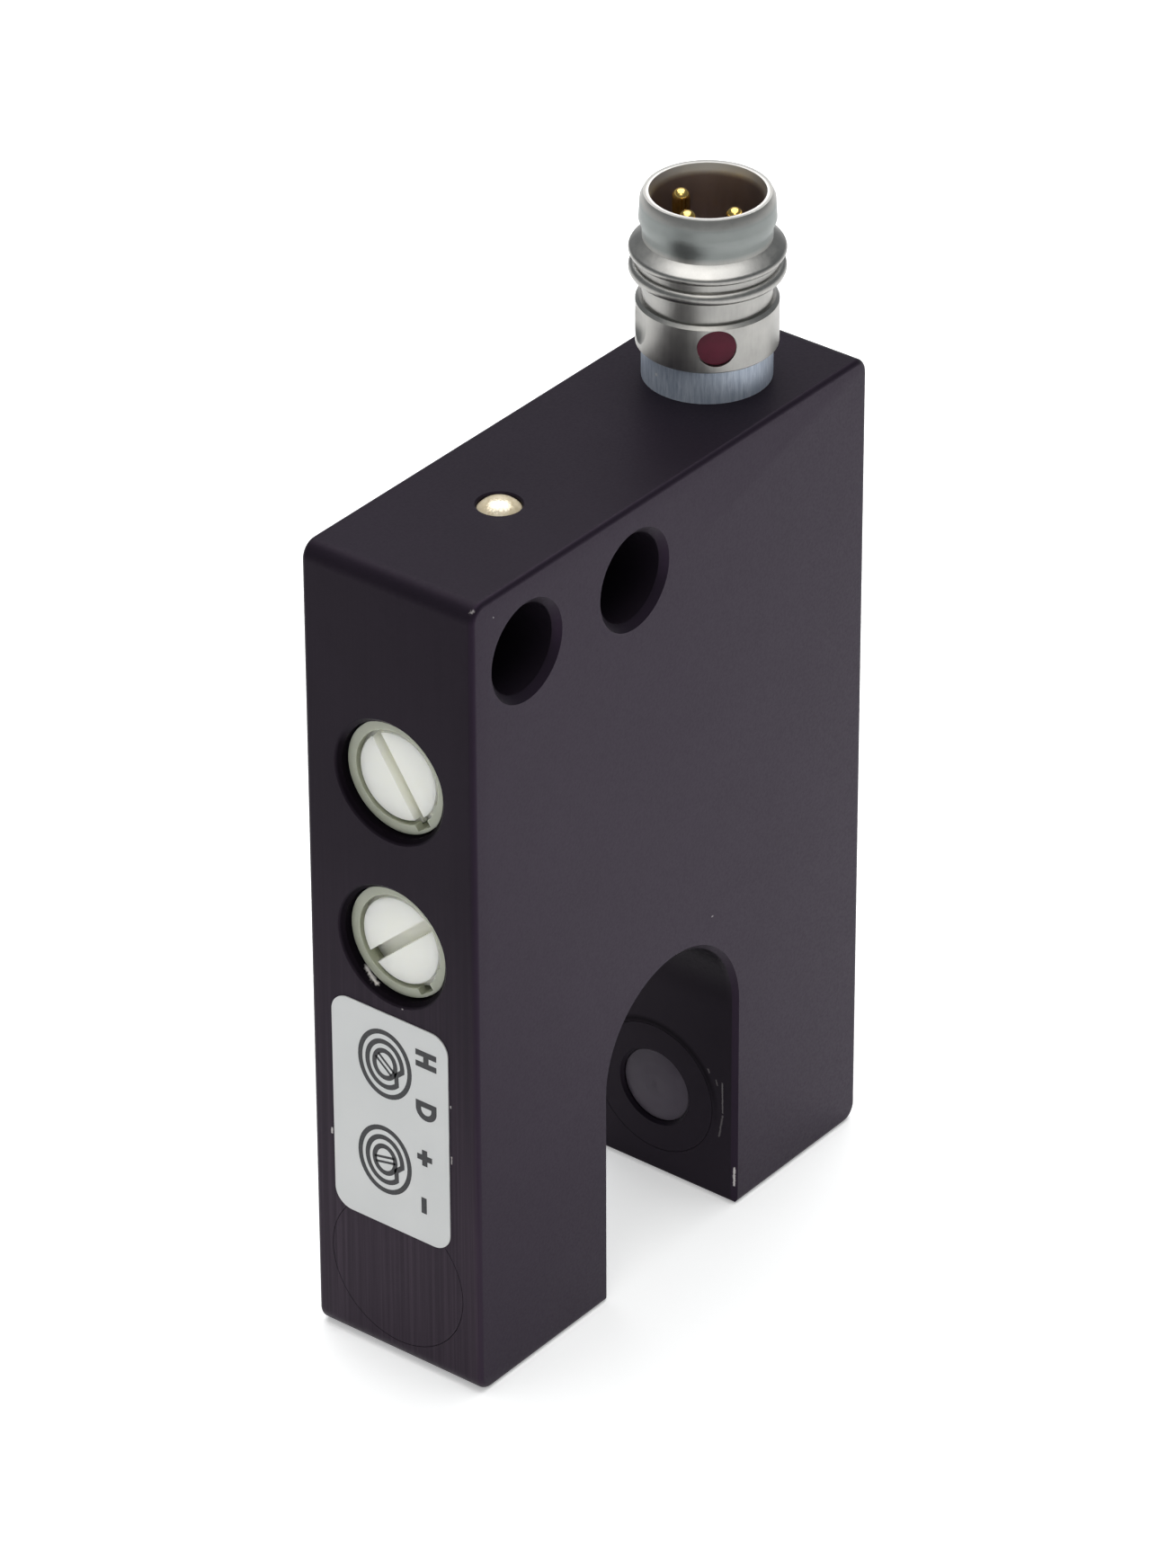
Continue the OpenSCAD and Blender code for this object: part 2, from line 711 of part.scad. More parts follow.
// Outer profile of the shell: dimpled ring, neck, grooved snap bead, neck, lead-in and rim
module shell_profile() {
    neck = neck_d / 2;
    bevel = 0.16;
    rim_bevel = [0.16, 0.33];
    out = bead_d / 2;
    low_r = 0.33;
    low_z = ring_top + 1.55;
    top_r = 0.25;
    top_z = low_z + 0.97;
    flank = [out - 0.4 * top_r, top_z + 0.8 * top_r];
    mouth_z = rim_z - 1.35;
    polygon([
        [0, shell_low],
        [ring_d / 2 - bevel / 2, shell_low],
        [ring_d / 2, shell_low + bevel / 2],
        [ring_d / 2, ring_top - bevel],
        [ring_d / 2 - bevel, ring_top],
        [neck, ring_top],
        [neck, low_z - 0.45],
        [out - low_r, low_z - low_r],
        [out - top_r, top_z],
        flank,
        [neck, flank.y + 0.75 * (flank.x - neck)],
        [neck, mouth_z - 0.45],
        [mouth_d / 2, mouth_z],
        [rim_d / 2, rim_z - rim_bevel.y],
        [rim_d / 2 - rim_bevel.x, rim_z],
        [0, rim_z]
    ]);
    translate([out - low_r, low_z]) circle(low_r);
    translate([out - top_r, top_z]) circle(top_r);
}

module connector_shell() {
    lead_in = 0.15;
    lead_h = 0.55;
    color("#b3b0a8") translate([conn_x, 0, conn_z]) difference() {
        rotate_extrude() intersection() {
            shell_profile();
            translate([0, shell_low]) square([bead_d, shell_h]);
        }
        translate([0, 0, shell_low - 1]) cylinder(h = shell_h, d = tube_d + 2 * fit_gap);
        translate([0, 0, insert_low]) cylinder(h = shell_h, d = shell_bore);
        translate([0, 0, rim_z - lead_h])
            cylinder(h = lead_h + small, d1 = shell_bore, d2 = shell_bore + 2 * lead_in);
        for (a = dimple_angles)
            rotate(a) translate([dimple_out, 0, dimple_z]) sphere(dimple_ball);
        mark_seat() cylinder(h = 1, d = mark_d);
    }
}

// Places a shape drawn along +Z so that it grows outwards from the floor of the mark's seat
module mark_seat() {
    rotate(mark_angle) translate([ring_d / 2 - mark_deep, 0, dimple_z]) along_x() children();
}

// Paint in a flat seat, level with the ring's surface at its sides
module index_mark() {
    color("#6d1f33") translate([conn_x, 0, conn_z])
        mark_seat() cylinder(h = mark_t, d = mark_d - 2 * fit_gap);
}

// Insulator that rests on the collar's tube inside the shell and carries the pins
module contact_insert() {
    color("#2a2728") translate([conn_x, 0, conn_z]) difference() {
        union() {
            translate([0, 0, insert_low]) cylinder(h = insert_top - insert_low, d = shell_bore - 2 * fit_gap);
            translate([0, 0, insert_foot])
                cylinder(h = insert_low - insert_foot + small, d = tube_bore - 2 * fit_gap);
        }
        for (a = pin_angles)
            rotate(a) translate([pin_circle / 2, 0, -spigot_len - 1])
                cylinder(h = insert_top + spigot_len + 2, d = pin_d + 2 * fit_gap);
    }
}

module contact_pins() {
    tip = rim_z - pin_below_rim - pin_d / 2;
    color("#c9a43c") translate([conn_x, 0, conn_z]) for (a = pin_angles)
        rotate(a) translate([pin_circle / 2, 0, 0]) {
            translate([0, 0, tail_low]) cylinder(h = tip - tail_low, d = pin_d);
            translate([0, 0, tip]) sphere(d = pin_d);
        }
}

// Short wires from the pin tails to the pads on the board
module connector_wires() {
    top = conn_z + tail_low;
    color("#b5562f") for (a = pin_angles) {
        x = conn_x + pin_circle / 2 * cos(a);
        y = pin_circle / 2 * sin(a);
        pad = y > wire_d ? board_y + board_t : y < -wire_d ? board_y : y;
        translate([x, y, wire_low]) cylinder(h = top - wire_low, d = wire_d);
        if (pad != y) {
            translate([x, y, wire_low]) sphere(d = wire_d);
            translate([x, y, wire_low]) rotate([pad > y ? -90 : 90, 0, 0])
                cylinder(h = abs(pad - y), d = wire_d);
        }
    }
}

housing();
rear_cover();
emitter_plug();
receiver_plug();
emitter_holder();
receiver_holder();
emitter_lens();
receiver_lens();
emitter_led();
receiver_diode();
circuit_board();
comparator_chip();
regulator_chip();
output_transistor();
chip_resistors();
chip_capacitors();
status_led();
upper_case();
lower_case();
upper_rotor();
lower_rotor();
upper_base();
lower_base();
upper_wiper();
lower_wiper();
upper_legs();
lower_legs();
adjuster_label();
light_guide();
connector_collar();
collar_seal();
connector_shell();
index_mark();
contact_insert();
contact_pins();
connector_wires();
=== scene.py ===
# %% [markdown]
# # An optical fork sensor
# This part is a small light barrier: a black fork with a light source in one tine and a receiver in the
# other, two trimmers to set it, and a snap-in connector on top. Its solids come from the CAD frame at their
# real size. Here each surface gets the finish of the real material, the label gets its print, and the part
# is photographed on a pale floor.

# %% Load the frame
import math

import bmesh
import bpy
from mathutils import Matrix, Vector


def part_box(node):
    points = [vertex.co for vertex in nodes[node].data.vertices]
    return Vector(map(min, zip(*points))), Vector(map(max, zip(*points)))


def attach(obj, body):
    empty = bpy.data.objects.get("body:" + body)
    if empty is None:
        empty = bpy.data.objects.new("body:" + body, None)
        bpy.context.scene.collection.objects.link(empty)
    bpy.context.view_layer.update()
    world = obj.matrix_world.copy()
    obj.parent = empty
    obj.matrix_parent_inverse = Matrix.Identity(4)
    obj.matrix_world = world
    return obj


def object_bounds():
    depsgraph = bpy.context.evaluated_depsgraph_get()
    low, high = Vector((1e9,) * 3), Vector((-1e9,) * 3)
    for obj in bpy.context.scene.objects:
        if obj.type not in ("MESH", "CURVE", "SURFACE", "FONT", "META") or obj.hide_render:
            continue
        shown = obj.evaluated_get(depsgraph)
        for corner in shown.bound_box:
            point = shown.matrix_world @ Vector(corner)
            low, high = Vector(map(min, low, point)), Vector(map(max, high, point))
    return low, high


MM = 0.001

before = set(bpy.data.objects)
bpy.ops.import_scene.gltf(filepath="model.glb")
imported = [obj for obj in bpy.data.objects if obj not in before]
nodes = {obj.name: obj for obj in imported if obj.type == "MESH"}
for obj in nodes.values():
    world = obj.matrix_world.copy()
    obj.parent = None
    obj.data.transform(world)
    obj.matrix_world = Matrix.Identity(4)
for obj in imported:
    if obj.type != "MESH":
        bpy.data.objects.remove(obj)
cad_low, cad_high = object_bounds()
print(f"{len(nodes)} CAD nodes, {[round(v / MM, 2) for v in cad_high - cad_low]} mm overall")

# %% [markdown]
# ## Two helpers for nodes and colours
# Blender's materials and modifiers are both trees of nodes, so one small function can add any node with its
# options, its values and its links. Colours are noted as sRGB hex values, as a paint program shows them, and
# turned to the linear light values that a shader works in.


# %% Helpers
def add_node(tree, kind, inputs=None, **options):
    """Adds one node: options are its own settings, and inputs are values or sockets to link."""
    node = tree.nodes.new(kind)
    for name, value in options.items():
        setattr(node, name, value)
    for name, value in (inputs or {}).items():
        if isinstance(value, bpy.types.NodeSocket):
            tree.links.new(value, node.inputs[name])
        else:
            node.inputs[name].default_value = value
    return node


def linear(colour):
    """The linear RGBA values of an sRGB hex colour."""
    parts = [int(colour[k : k + 2], 16) / 255 for k in (1, 3, 5)]
    return tuple(c / 12.92 if c <= 0.04045 else ((c + 0.055) / 1.055) ** 2.4 for c in parts) + (1,)


# %% [markdown]
# ## Smooth shading with crisp edges
# The solids arrive as triangles. Turned and moulded surfaces should shade smoothly, while machined edges stay
# crisp. Shading every face smooth would smear the edges, so a small modifier welds the triangles and smooths
# only the edges that are flatter than a limit. The meshes themselves are left as they are.

# %% Smooth by angle
SMOOTH_LIMIT = math.radians(25)
WELD_MM = 0.0005

shading = bpy.data.node_groups.new("smooth_by_angle", "GeometryNodeTree")
for direction in ("INPUT", "OUTPUT"):
    shading.interface.new_socket("Geometry", in_out=direction, socket_type="NodeSocketGeometry")
mesh_in = add_node(shading, "NodeGroupInput")
welded = add_node(
    shading, "GeometryNodeMergeByDistance", {"Geometry": mesh_in.outputs[0], "Distance": WELD_MM * MM}
)
angle = add_node(shading, "GeometryNodeInputMeshEdgeAngle")
flat = add_node(
    shading, "FunctionNodeCompare", {0: angle.outputs[0], 1: SMOOTH_LIMIT}, operation="LESS_THAN"
)
faces = add_node(shading, "GeometryNodeSetShadeSmooth", {"Geometry": welded.outputs[0]}, domain="FACE")
edges = add_node(
    shading,
    "GeometryNodeSetShadeSmooth",
    {"Geometry": faces.outputs[0], "Shade Smooth": flat.outputs[0]},
    domain="EDGE",
)
add_node(shading, "NodeGroupOutput", {0: edges.outputs[0]})

for cad in nodes.values():
    cad.modifiers.new("smooth_by_angle", "NODES").node_group = shading
print("smooth shading on", len(nodes), "nodes")

# %% [markdown]
# ## The camera
# The photograph was taken from the dial side, a little above the part, with a long lens. Azimuth, elevation
# and distance were worked out from the corners of the housing. The lens follows from the focal length in
# pixels of the 1308 by 1744 picture, because the sensor's 36 mm lie along the long side.

# %% Camera
PICTURE_H = 1744
FOCAL_PX = 9200
SENSOR = 36
VIEW_AZIMUTH = math.radians(51.84)
VIEW_ELEVATION = math.radians(31.975)
VIEW_ROLL = math.radians(-0.21)
VIEW_DISTANCE = 394.591 * MM
VIEW_CENTRE = Vector((0, 0, 23)) * MM
VIEW_OFFSET = Vector((0.125, -1.732)) * MM
CLIP_NEAR = 10 * MM
CLIP_FAR = 10000 * MM

look = Vector((
    math.cos(VIEW_ELEVATION) * math.sin(VIEW_AZIMUTH),
    math.cos(VIEW_ELEVATION) * math.cos(VIEW_AZIMUTH),
    -math.sin(VIEW_ELEVATION),
))
level = Vector((math.cos(VIEW_AZIMUTH), -math.sin(VIEW_AZIMUTH), 0))
turn = Matrix.Rotation(VIEW_ROLL, 3, -look)
right = turn @ level
up = right.cross(look)

camera = bpy.data.objects.new("camera", bpy.data.cameras.new("camera"))
camera.data.sensor_width = SENSOR
camera.data.lens = FOCAL_PX / PICTURE_H * SENSOR
camera.data.clip_start = CLIP_NEAR
camera.data.clip_end = CLIP_FAR
camera.location = VIEW_CENTRE - look * VIEW_DISTANCE - right * VIEW_OFFSET.x - up * VIEW_OFFSET.y
camera.rotation_euler = Matrix((right, up, -look)).transposed().to_euler()
bpy.context.scene.collection.objects.link(camera)
bpy.context.scene.camera = camera
print("camera at", [round(v / MM, 1) for v in camera.location], "mm, lens", round(camera.data.lens, 1), "mm")

# %% [markdown]
# ## How a material starts and ends
# A finish could be painted as a picture and wrapped round the part. Here every finish is worked out by nodes
# instead, so it needs no unwrapping and stays sharp from close by. The patterns are laid out in millimetres
# on the part itself, so a grain of 0.1 mm is a scale of 1 / 0.1. A material starts with the place of each
# point, often takes two tones in soft patches, may take other colours through masks, and ends with one
# physically based shader.


# %% Material helpers
def start_material(name):
    """A new material's tree, and the socket that gives each point's place in millimetres."""
    material = bpy.data.materials.new(name)
    material.use_nodes = True
    tree = material.node_tree
    tree.nodes.clear()
    place = add_node(tree, "ShaderNodeTexCoord").outputs["Object"]
    in_mm = add_node(tree, "ShaderNodeVectorMath", {0: place, 1: (1 / MM,) * 3}, operation="MULTIPLY")
    return material, tree, in_mm.outputs[0]


def two_tone(tree, in_mm, size_mm, dark, light, detail=2, distortion=0):
    """Soft patches of two linear colours at a real size: gives the pattern and the colour."""
    patches = add_node(
        tree,
        "ShaderNodeTexNoise",
        {"Vector": in_mm, "Scale": 1 / size_mm, "Detail": detail, "Distortion": distortion},
    ).outputs[0]
    colour = add_node(tree, "ShaderNodeMix", {0: patches, 6: dark, 7: light}, data_type="RGBA").outputs[2]
    return patches, colour


def zone_mask(tree, strength, *limits):
    """A mask of a strength where each value is within its limits, given as value, low, high and soft edge."""
    mask = strength
    for value, low, high, soft in limits:
        for outside, inside in ((low - soft, low + soft), (high + soft, high - soft)):
            edge = add_node(
                tree, "ShaderNodeMapRange", {"Value": value, "From Min": outside, "From Max": inside}
            )
            mask = add_node(
                tree, "ShaderNodeMath", {0: mask, 1: edge.outputs[0]}, operation="MULTIPLY"
            ).outputs[0]
    return mask


def paint_over(tree, colour, layers):
    """Lays hex colours over a colour, each through its own mask."""
    for mask, tint in layers:
        colour = add_node(
            tree, "ShaderNodeMix", {0: mask, 6: colour, 7: linear(tint)}, data_type="RGBA"
        ).outputs[2]
    return colour


def end_material(tree, sockets):
    """Ends a material's tree with a shader whose sockets take the given values or links."""
    shader = add_node(tree, "ShaderNodeBsdfPrincipled", sockets)
    add_node(tree, "ShaderNodeOutputMaterial", {"Surface": shader.outputs[0]})


def wear(material, *names):
    """Gives the named CAD nodes this material."""
    for name in names:
        nodes[name].data.materials.clear()
        nodes[name].data.materials.append(material)
    print(material.name, "on", ", ".join(names))


# %% [markdown]
# ## Scratches, chips and painted glints
# Years of handling leave short bright marks where the black layer is gone. They are too shallow to model as
# dents, so they are only a change of colour. Each mark is a short line on the part with a width: its distance
# to a line is worked out once in a node group, and a list of marks is turned into one mask. Fine noise breaks
# the marks up, as real chips are never clean. The same marks also paint a few glints, which are painted
# highlights.

# %% Distance to a short line
line_group = bpy.data.node_groups.new("line_distance", "ShaderNodeTree")
for name in ("Place", "Start", "Along"):
    line_group.interface.new_socket(name, in_out="INPUT", socket_type="NodeSocketVector")
line_group.interface.new_socket("Distance", in_out="OUTPUT", socket_type="NodeSocketFloat")
place, start, along = add_node(line_group, "NodeGroupInput").outputs[:3]
away = add_node(line_group, "ShaderNodeVectorMath", {0: place, 1: start}, operation="SUBTRACT").outputs[0]
ahead = add_node(line_group, "ShaderNodeVectorMath", {0: away, 1: along}, operation="DOT_PRODUCT")
whole = add_node(line_group, "ShaderNodeVectorMath", {0: along, 1: along}, operation="DOT_PRODUCT")
share = add_node(
    line_group,
    "ShaderNodeMath",
    {0: ahead.outputs["Value"], 1: whole.outputs["Value"]},
    operation="DIVIDE",
    use_clamp=True,
)
foot = add_node(
    line_group, "ShaderNodeVectorMath", {0: along, "Scale": share.outputs[0]}, operation="SCALE"
)
gap = add_node(line_group, "ShaderNodeVectorMath", {0: away, 1: foot.outputs[0]}, operation="DISTANCE")
add_node(line_group, "NodeGroupOutput", {0: gap.outputs["Value"]})
print("node group", line_group.name, "with", len(line_group.nodes), "nodes")

# %% Mask of marks
RAGGED_MM = 0.12
RAGGED_REACH = 1.2
# Keeps the length of a dot above zero
DOT_MM = 0.001


def mark_mask(tree, in_mm, marks):
    """A mask of marks, each a start, an end, a width in millimetres and a strength, with ragged edges."""
    ragged = add_node(tree, "ShaderNodeTexNoise", {"Vector": in_mm, "Scale": 1 / RAGGED_MM, "Detail": 2})
    total = 0
    for start, end, width, strength in marks:
        along = Vector(end) - Vector(start) + Vector((0, 0, DOT_MM))
        line = add_node(
            tree,
            "ShaderNodeGroup",
            {"Place": in_mm, "Start": start, "Along": along},
            node_tree=line_group,
        )
        reach = add_node(
            tree, "ShaderNodeMath", {0: ragged.outputs[0], 1: RAGGED_REACH * width}, operation="MULTIPLY"
        )
        mask = add_node(
            tree,
            "ShaderNodeMapRange",
            {"Value": line.outputs[0], "From Min": reach.outputs[0], "From Max": 0, "To Max": strength},
            interpolation_type="SMOOTHSTEP",
        )
        total = add_node(
            tree, "ShaderNodeMath", {0: total, 1: mask.outputs[0]}, operation="MAXIMUM"
        ).outputs[0]
    return total


# %% [markdown]
# ## Tones and painted shade by place on the fork
# In the photograph the broad front is paler than the narrow sides, and the trimmers' bores, the crown of the
# slot and a rim round the receiver's holder are darker than plain light makes them. Flags and cards round the
# part could do that in a studio. Here masks do it: the outer faces differ in gloss, and the dark places get
# painted shade, because masks stay with the part in every view. One pair of masks tells the outer faces apart
# by the way they face, and another gathers the places of painted shade.

# %% Masks on the fork
_, housing_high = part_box("housing")
holder_low, holder_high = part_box("receiver_holder")
HALF_WIDE_MM = housing_high.x / MM
HALF_DEEP_MM = housing_high.y / MM
HALF_SLOT_MM = holder_low.x / MM
BEAM_Z_MM = (holder_low.z + holder_high.z) / 2 / MM
HOLDER_R_MM = (holder_high.z - holder_low.z) / 2 / MM

# Down to CROWN_HEIGHTS_MM, each of these ends with the softness of its mask's edge
# Depth of the edge that still counts as the outer face
SIDE_EDGE_MM = (0.7, 0.3)
BROAD_EDGE_MM = (0.4, 0.2)
# How far the rim of painted shade lies in and out from the holder's edge, and past the slot's faces
RIM_WIDTH_MM = (-0.1, 0.12, 0.14)
RIM_PAST_SLOT_MM = (1, 0.5)
# Depths below the dial face, reach to either side and heights of the painted shade in the trimmers' bores
BORE_DEPTHS_MM = (0.07, 5, 0.04)
BORE_REACH_MM = (3.9, 0.1)
BORE_HEIGHTS_MM = (16, 34, 0.5)
# How far the crown's painted shade lies past the slot's faces, and its heights
CROWN_PAST_SLOT_MM = (0.2, 0.1)
CROWN_HEIGHTS_MM = (13, 25, 2)
# The rim fades in between these heights from the beam
RIM_FADE_MM = (-1, 2)
# Strengths of the painted shade on the rim, in the bores and on the crown
RIM_SHADE = 0.75
BORE_SHADE = 0.7
CROWN_SHADE = 0.6


def both_sides(value, half, soft):
    """Limits for zone_mask that reach as far to one side as to the other."""
    return value, -half, half, soft


def outer_faces(tree, in_mm):
    """Masks of the narrow sides and of the broad front and back, without what lies behind them."""
    normal = add_node(tree, "ShaderNodeNewGeometry").outputs["True Normal"]
    facing = add_node(tree, "ShaderNodeSeparateXYZ", {0: normal}).outputs
    place = add_node(tree, "ShaderNodeSeparateXYZ", {0: in_mm}).outputs
    masks = []
    for axis, half, (edge, soft) in ((0, HALF_WIDE_MM, SIDE_EDGE_MM), (1, HALF_DEEP_MM, BROAD_EDGE_MM)):
        inner = zone_mask(tree, 1, both_sides(place[axis], half - edge, soft))
        faced = add_node(tree, "ShaderNodeMath", {0: facing[axis]}, operation="ABSOLUTE")
        outer = add_node(
            tree, "ShaderNodeMath", {0: faced.outputs[0], 1: inner}, operation="SUBTRACT", use_clamp=True
        )
        masks.append(outer.outputs[0])
    return masks


def painted_shade_places(tree, in_mm):
    """A mask of painted shade on the upper rim round the holder, in the trimmers' bores and on the crown of
    the slot.
    """
    across, deep, height = add_node(tree, "ShaderNodeSeparateXYZ", {0: in_mm}).outputs
    off_beam = add_node(
        tree, "ShaderNodeVectorMath", {0: in_mm, 1: (0, 0, BEAM_Z_MM)}, operation="SUBTRACT"
    )
    upright = add_node(
        tree, "ShaderNodeVectorMath", {0: off_beam.outputs[0], 1: (0, 1, 1)}, operation="MULTIPLY"
    )
    radius = add_node(tree, "ShaderNodeVectorMath", {0: upright.outputs[0]}, operation="LENGTH")
    fade_low, fade_high = (BEAM_Z_MM + rise for rise in RIM_FADE_MM)
    upper = add_node(
        tree,
        "ShaderNodeMapRange",
        {"Value": height, "From Min": fade_low, "From Max": fade_high, "To Max": RIM_SHADE},
    )
    inward, outward, soft = RIM_WIDTH_MM
    past, past_soft = RIM_PAST_SLOT_MM
    dark = zone_mask(
        tree,
        upper.outputs[0],
        (radius.outputs["Value"], HOLDER_R_MM + inward, HOLDER_R_MM + outward, soft),
        both_sides(across, HALF_SLOT_MM + past, past_soft),
    )
    first, last, soft = BORE_DEPTHS_MM
    bores = zone_mask(
        tree,
        BORE_SHADE,
        (across, first - HALF_WIDE_MM, last - HALF_WIDE_MM, soft),
        both_sides(deep, *BORE_REACH_MM),
        (height, *BORE_HEIGHTS_MM),
    )
    past, past_soft = CROWN_PAST_SLOT_MM
    edge, soft = BROAD_EDGE_MM
    crown = zone_mask(
        tree,
        CROWN_SHADE,
        both_sides(across, HALF_SLOT_MM + past, past_soft),
        both_sides(deep, HALF_DEEP_MM - edge, soft),
        (height, *CROWN_HEIGHTS_MM),
    )
    for mask in (bores, crown):
        dark = add_node(tree, "ShaderNodeMath", {0: dark, 1: mask}, operation="MAXIMUM").outputs[0]
    return dark


print("beam at", round(BEAM_Z_MM, 2), "mm, holder radius", round(HOLDER_R_MM, 2), "mm")

# %% [markdown]
# ## Black anodised aluminium
# The fork is milled from aluminium bar and dyed black in an anodising bath. The clear oxide over the dye
# gives a satin surface that looks violet black where it mirrors the floor and nearly black where it doesn't.
# The narrow sides were ground along their length and are worn towards the ends of the tines, which leaves
# fine upright streaks. A metallic shader would mirror too much for a dyed layer, so this is a dull, tinted
# gloss over a dark base. The oxide's grain is far finer than a pixel, so it is drawn as coarse as it needs
# to show.

# %% Chips and painted glints on the fork
# Start, end, width and strength of each mark
HOUSING_MARKS = [
    # Under the lower trimmer: first a painted glint on the wall of the bore, then chips
    ((-14.43, 1.99, 21.26), (-14.61, 1.28, 20.79), 0.34, 1),
    ((-15, 0.88, 20.64), (-15, 0.84, 20.6), 0.1, 0.6),
    ((-15, 0.07, 20.47), (-15, 0.03, 20.45), 0.1, 0.6),
    ((-15, -0.57, 20.28), (-15, -0.6, 20.28), 0.08, 0.6),
    # Beside the label
    ((-15, 3.88, 11.7), (-15, 3.9, 11.45), 0.14, 0.8),
    ((-15, -3.4, 15.97), (-15, -3.4, 15.9), 0.1, 0.6),
    ((-15, -3.42, 13.1), (-15, -3.42, 12.7), 0.08, 0.6),
    # On the edge of the slot, on the top corner, partly a chip and partly a painted glint, and on the front
    ((5.12, -4.88, 2.1), (5.12, -4.88, 1.1), 0.15, 0.8),
    ((-14.8, -4.82, 43.26), (-14.72, -4.86, 43.3), 0.26, 0.6),
    ((-13.43, -5, 42.43), (-13.4, -5, 42.4), 0.1, 0.4),
    ((3.02, -5, 17.97), (3.1, -5, 17.95), 0.1, 0.3),
    # Faint scratches beside the receiver's lens
    ((5, -4.2, 6.9), (5, -4.23, 5.2), 0.12, 0.16),
    ((5, -4.23, 5.0), (5, -4.02, 3.74), 0.14, 0.12),
    ((5, -3.82, 6.95), (5, -3.9, 6.7), 0.12, 0.14),
    ((5, -3.32, 7.4), (5, -3.4, 7.25), 0.14, 0.12),
    ((5, -2.14, 2.23), (5, -2.1, 2.2), 0.2, 0.12),
    ((5, -1.8, 2.0), (5, -1.6, 1.9), 0.16, 0.08),
]
print(len(HOUSING_MARKS), "chips and scratches on the fork")

# %% Anodised aluminium
ANODISED_DEEP = "#19151b"
ANODISED_LIFT = "#201b23"
GROUND_STREAK = "#3e353e"
# Painted shade for the bores, the crown of the slot and the rim round the holder
PAINTED_SHADE_TONE = "#070508"
# Bare metal at chips, also the colour of the painted glints among the marks
BARE_CHIP_AND_GLINT = "#e6e0de"
SIDE_TINT = "#eecff4"
BROAD_TINT = "#e9b0ff"
SIDE_GLOSS = 0.13
BROAD_GLOSS = 0.33
# Less gloss where the shade is painted
PAINTED_SHADE_GLOSS = -0.14
MOTTLE_MM = 5
GRAIN_MM = 0.14
STREAK_MM = 0.16
STREAK_LONG_MM = 14
# The streaks grow from a trace at the first height to full strength at the second
WORN_HEIGHTS_MM = (28, 8)
WORN_TRACE = 0.06
RUBBED_SHARE = 0.4


def ground_streaks(tree, in_mm, side, streaks):
    """The upright grinding pattern, and a mask of how much of it shows on the narrow sides."""
    stretch = (1 / STREAK_MM, 1 / STREAK_MM, 1 / STREAK_LONG_MM)
    stretched = add_node(tree, "ShaderNodeVectorMath", {0: in_mm, 1: stretch}, operation="MULTIPLY")
    streak = add_node(
        tree,
        "ShaderNodeTexNoise",
        {"Vector": stretched.outputs[0], "Scale": 1, "Detail": 3, "Roughness": 0.65},
    ).outputs[0]
    height = add_node(tree, "ShaderNodeSeparateXYZ", {0: in_mm}).outputs[2]
    first, last = WORN_HEIGHTS_MM
    ground = add_node(
        tree,
        "ShaderNodeMapRange",
        {"Value": height, "From Min": first, "From Max": last, "To Min": WORN_TRACE, "To Max": streaks},
    )
    worn = add_node(tree, "ShaderNodeMath", {0: ground.outputs[0], 1: side}, operation="MULTIPLY").outputs[0]
    rubbed = add_node(tree, "ShaderNodeMath", {0: worn, 1: RUBBED_SHARE}, operation="MULTIPLY").outputs[0]
    shown = add_node(
        tree,
        "ShaderNodeMapRange",
        {"Value": streak, "From Min": 0.4, "From Max": 0.8, "To Min": rubbed, "To Max": worn},
    )
    return streak, shown.outputs[0]


def black_anodised(name, marks=(), streaks=1.0, roughness=(0.34, 0.46)):
    """Satin black with a faint mottle, a fine grain, ground streaks, painted shade in the dark places, bare
    chips and painted glints.
    """
    material, tree, in_mm = start_material(name)
    side, broad = outer_faces(tree, in_mm)
    dark = painted_shade_places(tree, in_mm)
    streak, shown = ground_streaks(tree, in_mm, side, streaks)
    _, tone = two_tone(tree, in_mm, MOTTLE_MM, linear(ANODISED_DEEP), linear(ANODISED_LIFT), detail=4)
    # The dark places get painted shade
    layers = [(shown, GROUND_STREAK), (dark, PAINTED_SHADE_TONE)]
    if marks:
        layers.append((mark_mask(tree, in_mm, marks), BARE_CHIP_AND_GLINT))
    tint = add_node(
        tree, "ShaderNodeMix", {0: broad, 6: linear(SIDE_TINT), 7: linear(BROAD_TINT)}, data_type="RGBA"
    )
    gloss = add_node(
        tree, "ShaderNodeMapRange", {"Value": broad, "To Min": SIDE_GLOSS, "To Max": BROAD_GLOSS}
    )
    gloss = add_node(
        tree,
        "ShaderNodeMath",
        {0: dark, 1: PAINTED_SHADE_GLOSS, 2: gloss.outputs[0]},
        operation="MULTIPLY_ADD",
        use_clamp=True,
    )
    grain = add_node(
        tree, "ShaderNodeTexNoise", {"Vector": in_mm, "Scale": 1 / GRAIN_MM, "Detail": 2}
    ).outputs[0]
    smooth, rough = roughness
    satin = add_node(
        tree,
        "ShaderNodeMapRange",
        {"Value": grain, "From Min": 0.3, "From Max": 0.7, "To Min": smooth, "To Max": rough},
    )
    relief = add_node(tree, "ShaderNodeMath", {0: streak, 1: side, 2: grain}, operation="MULTIPLY_ADD")
    bump = add_node(
        tree, "ShaderNodeBump", {"Height": relief.outputs[0], "Strength": 0.12, "Distance": 0.02 * MM}
    )
    sockets = {
        "Base Color": paint_over(tree, tone, layers),
        "Roughness": satin.outputs[0],
        "IOR": 1.35,
        "Specular IOR Level": gloss.outputs[0],
        "Specular Tint": tint.outputs[2],
        "Normal": bump.outputs[0],
    }
    end_material(tree, sockets)
    return material


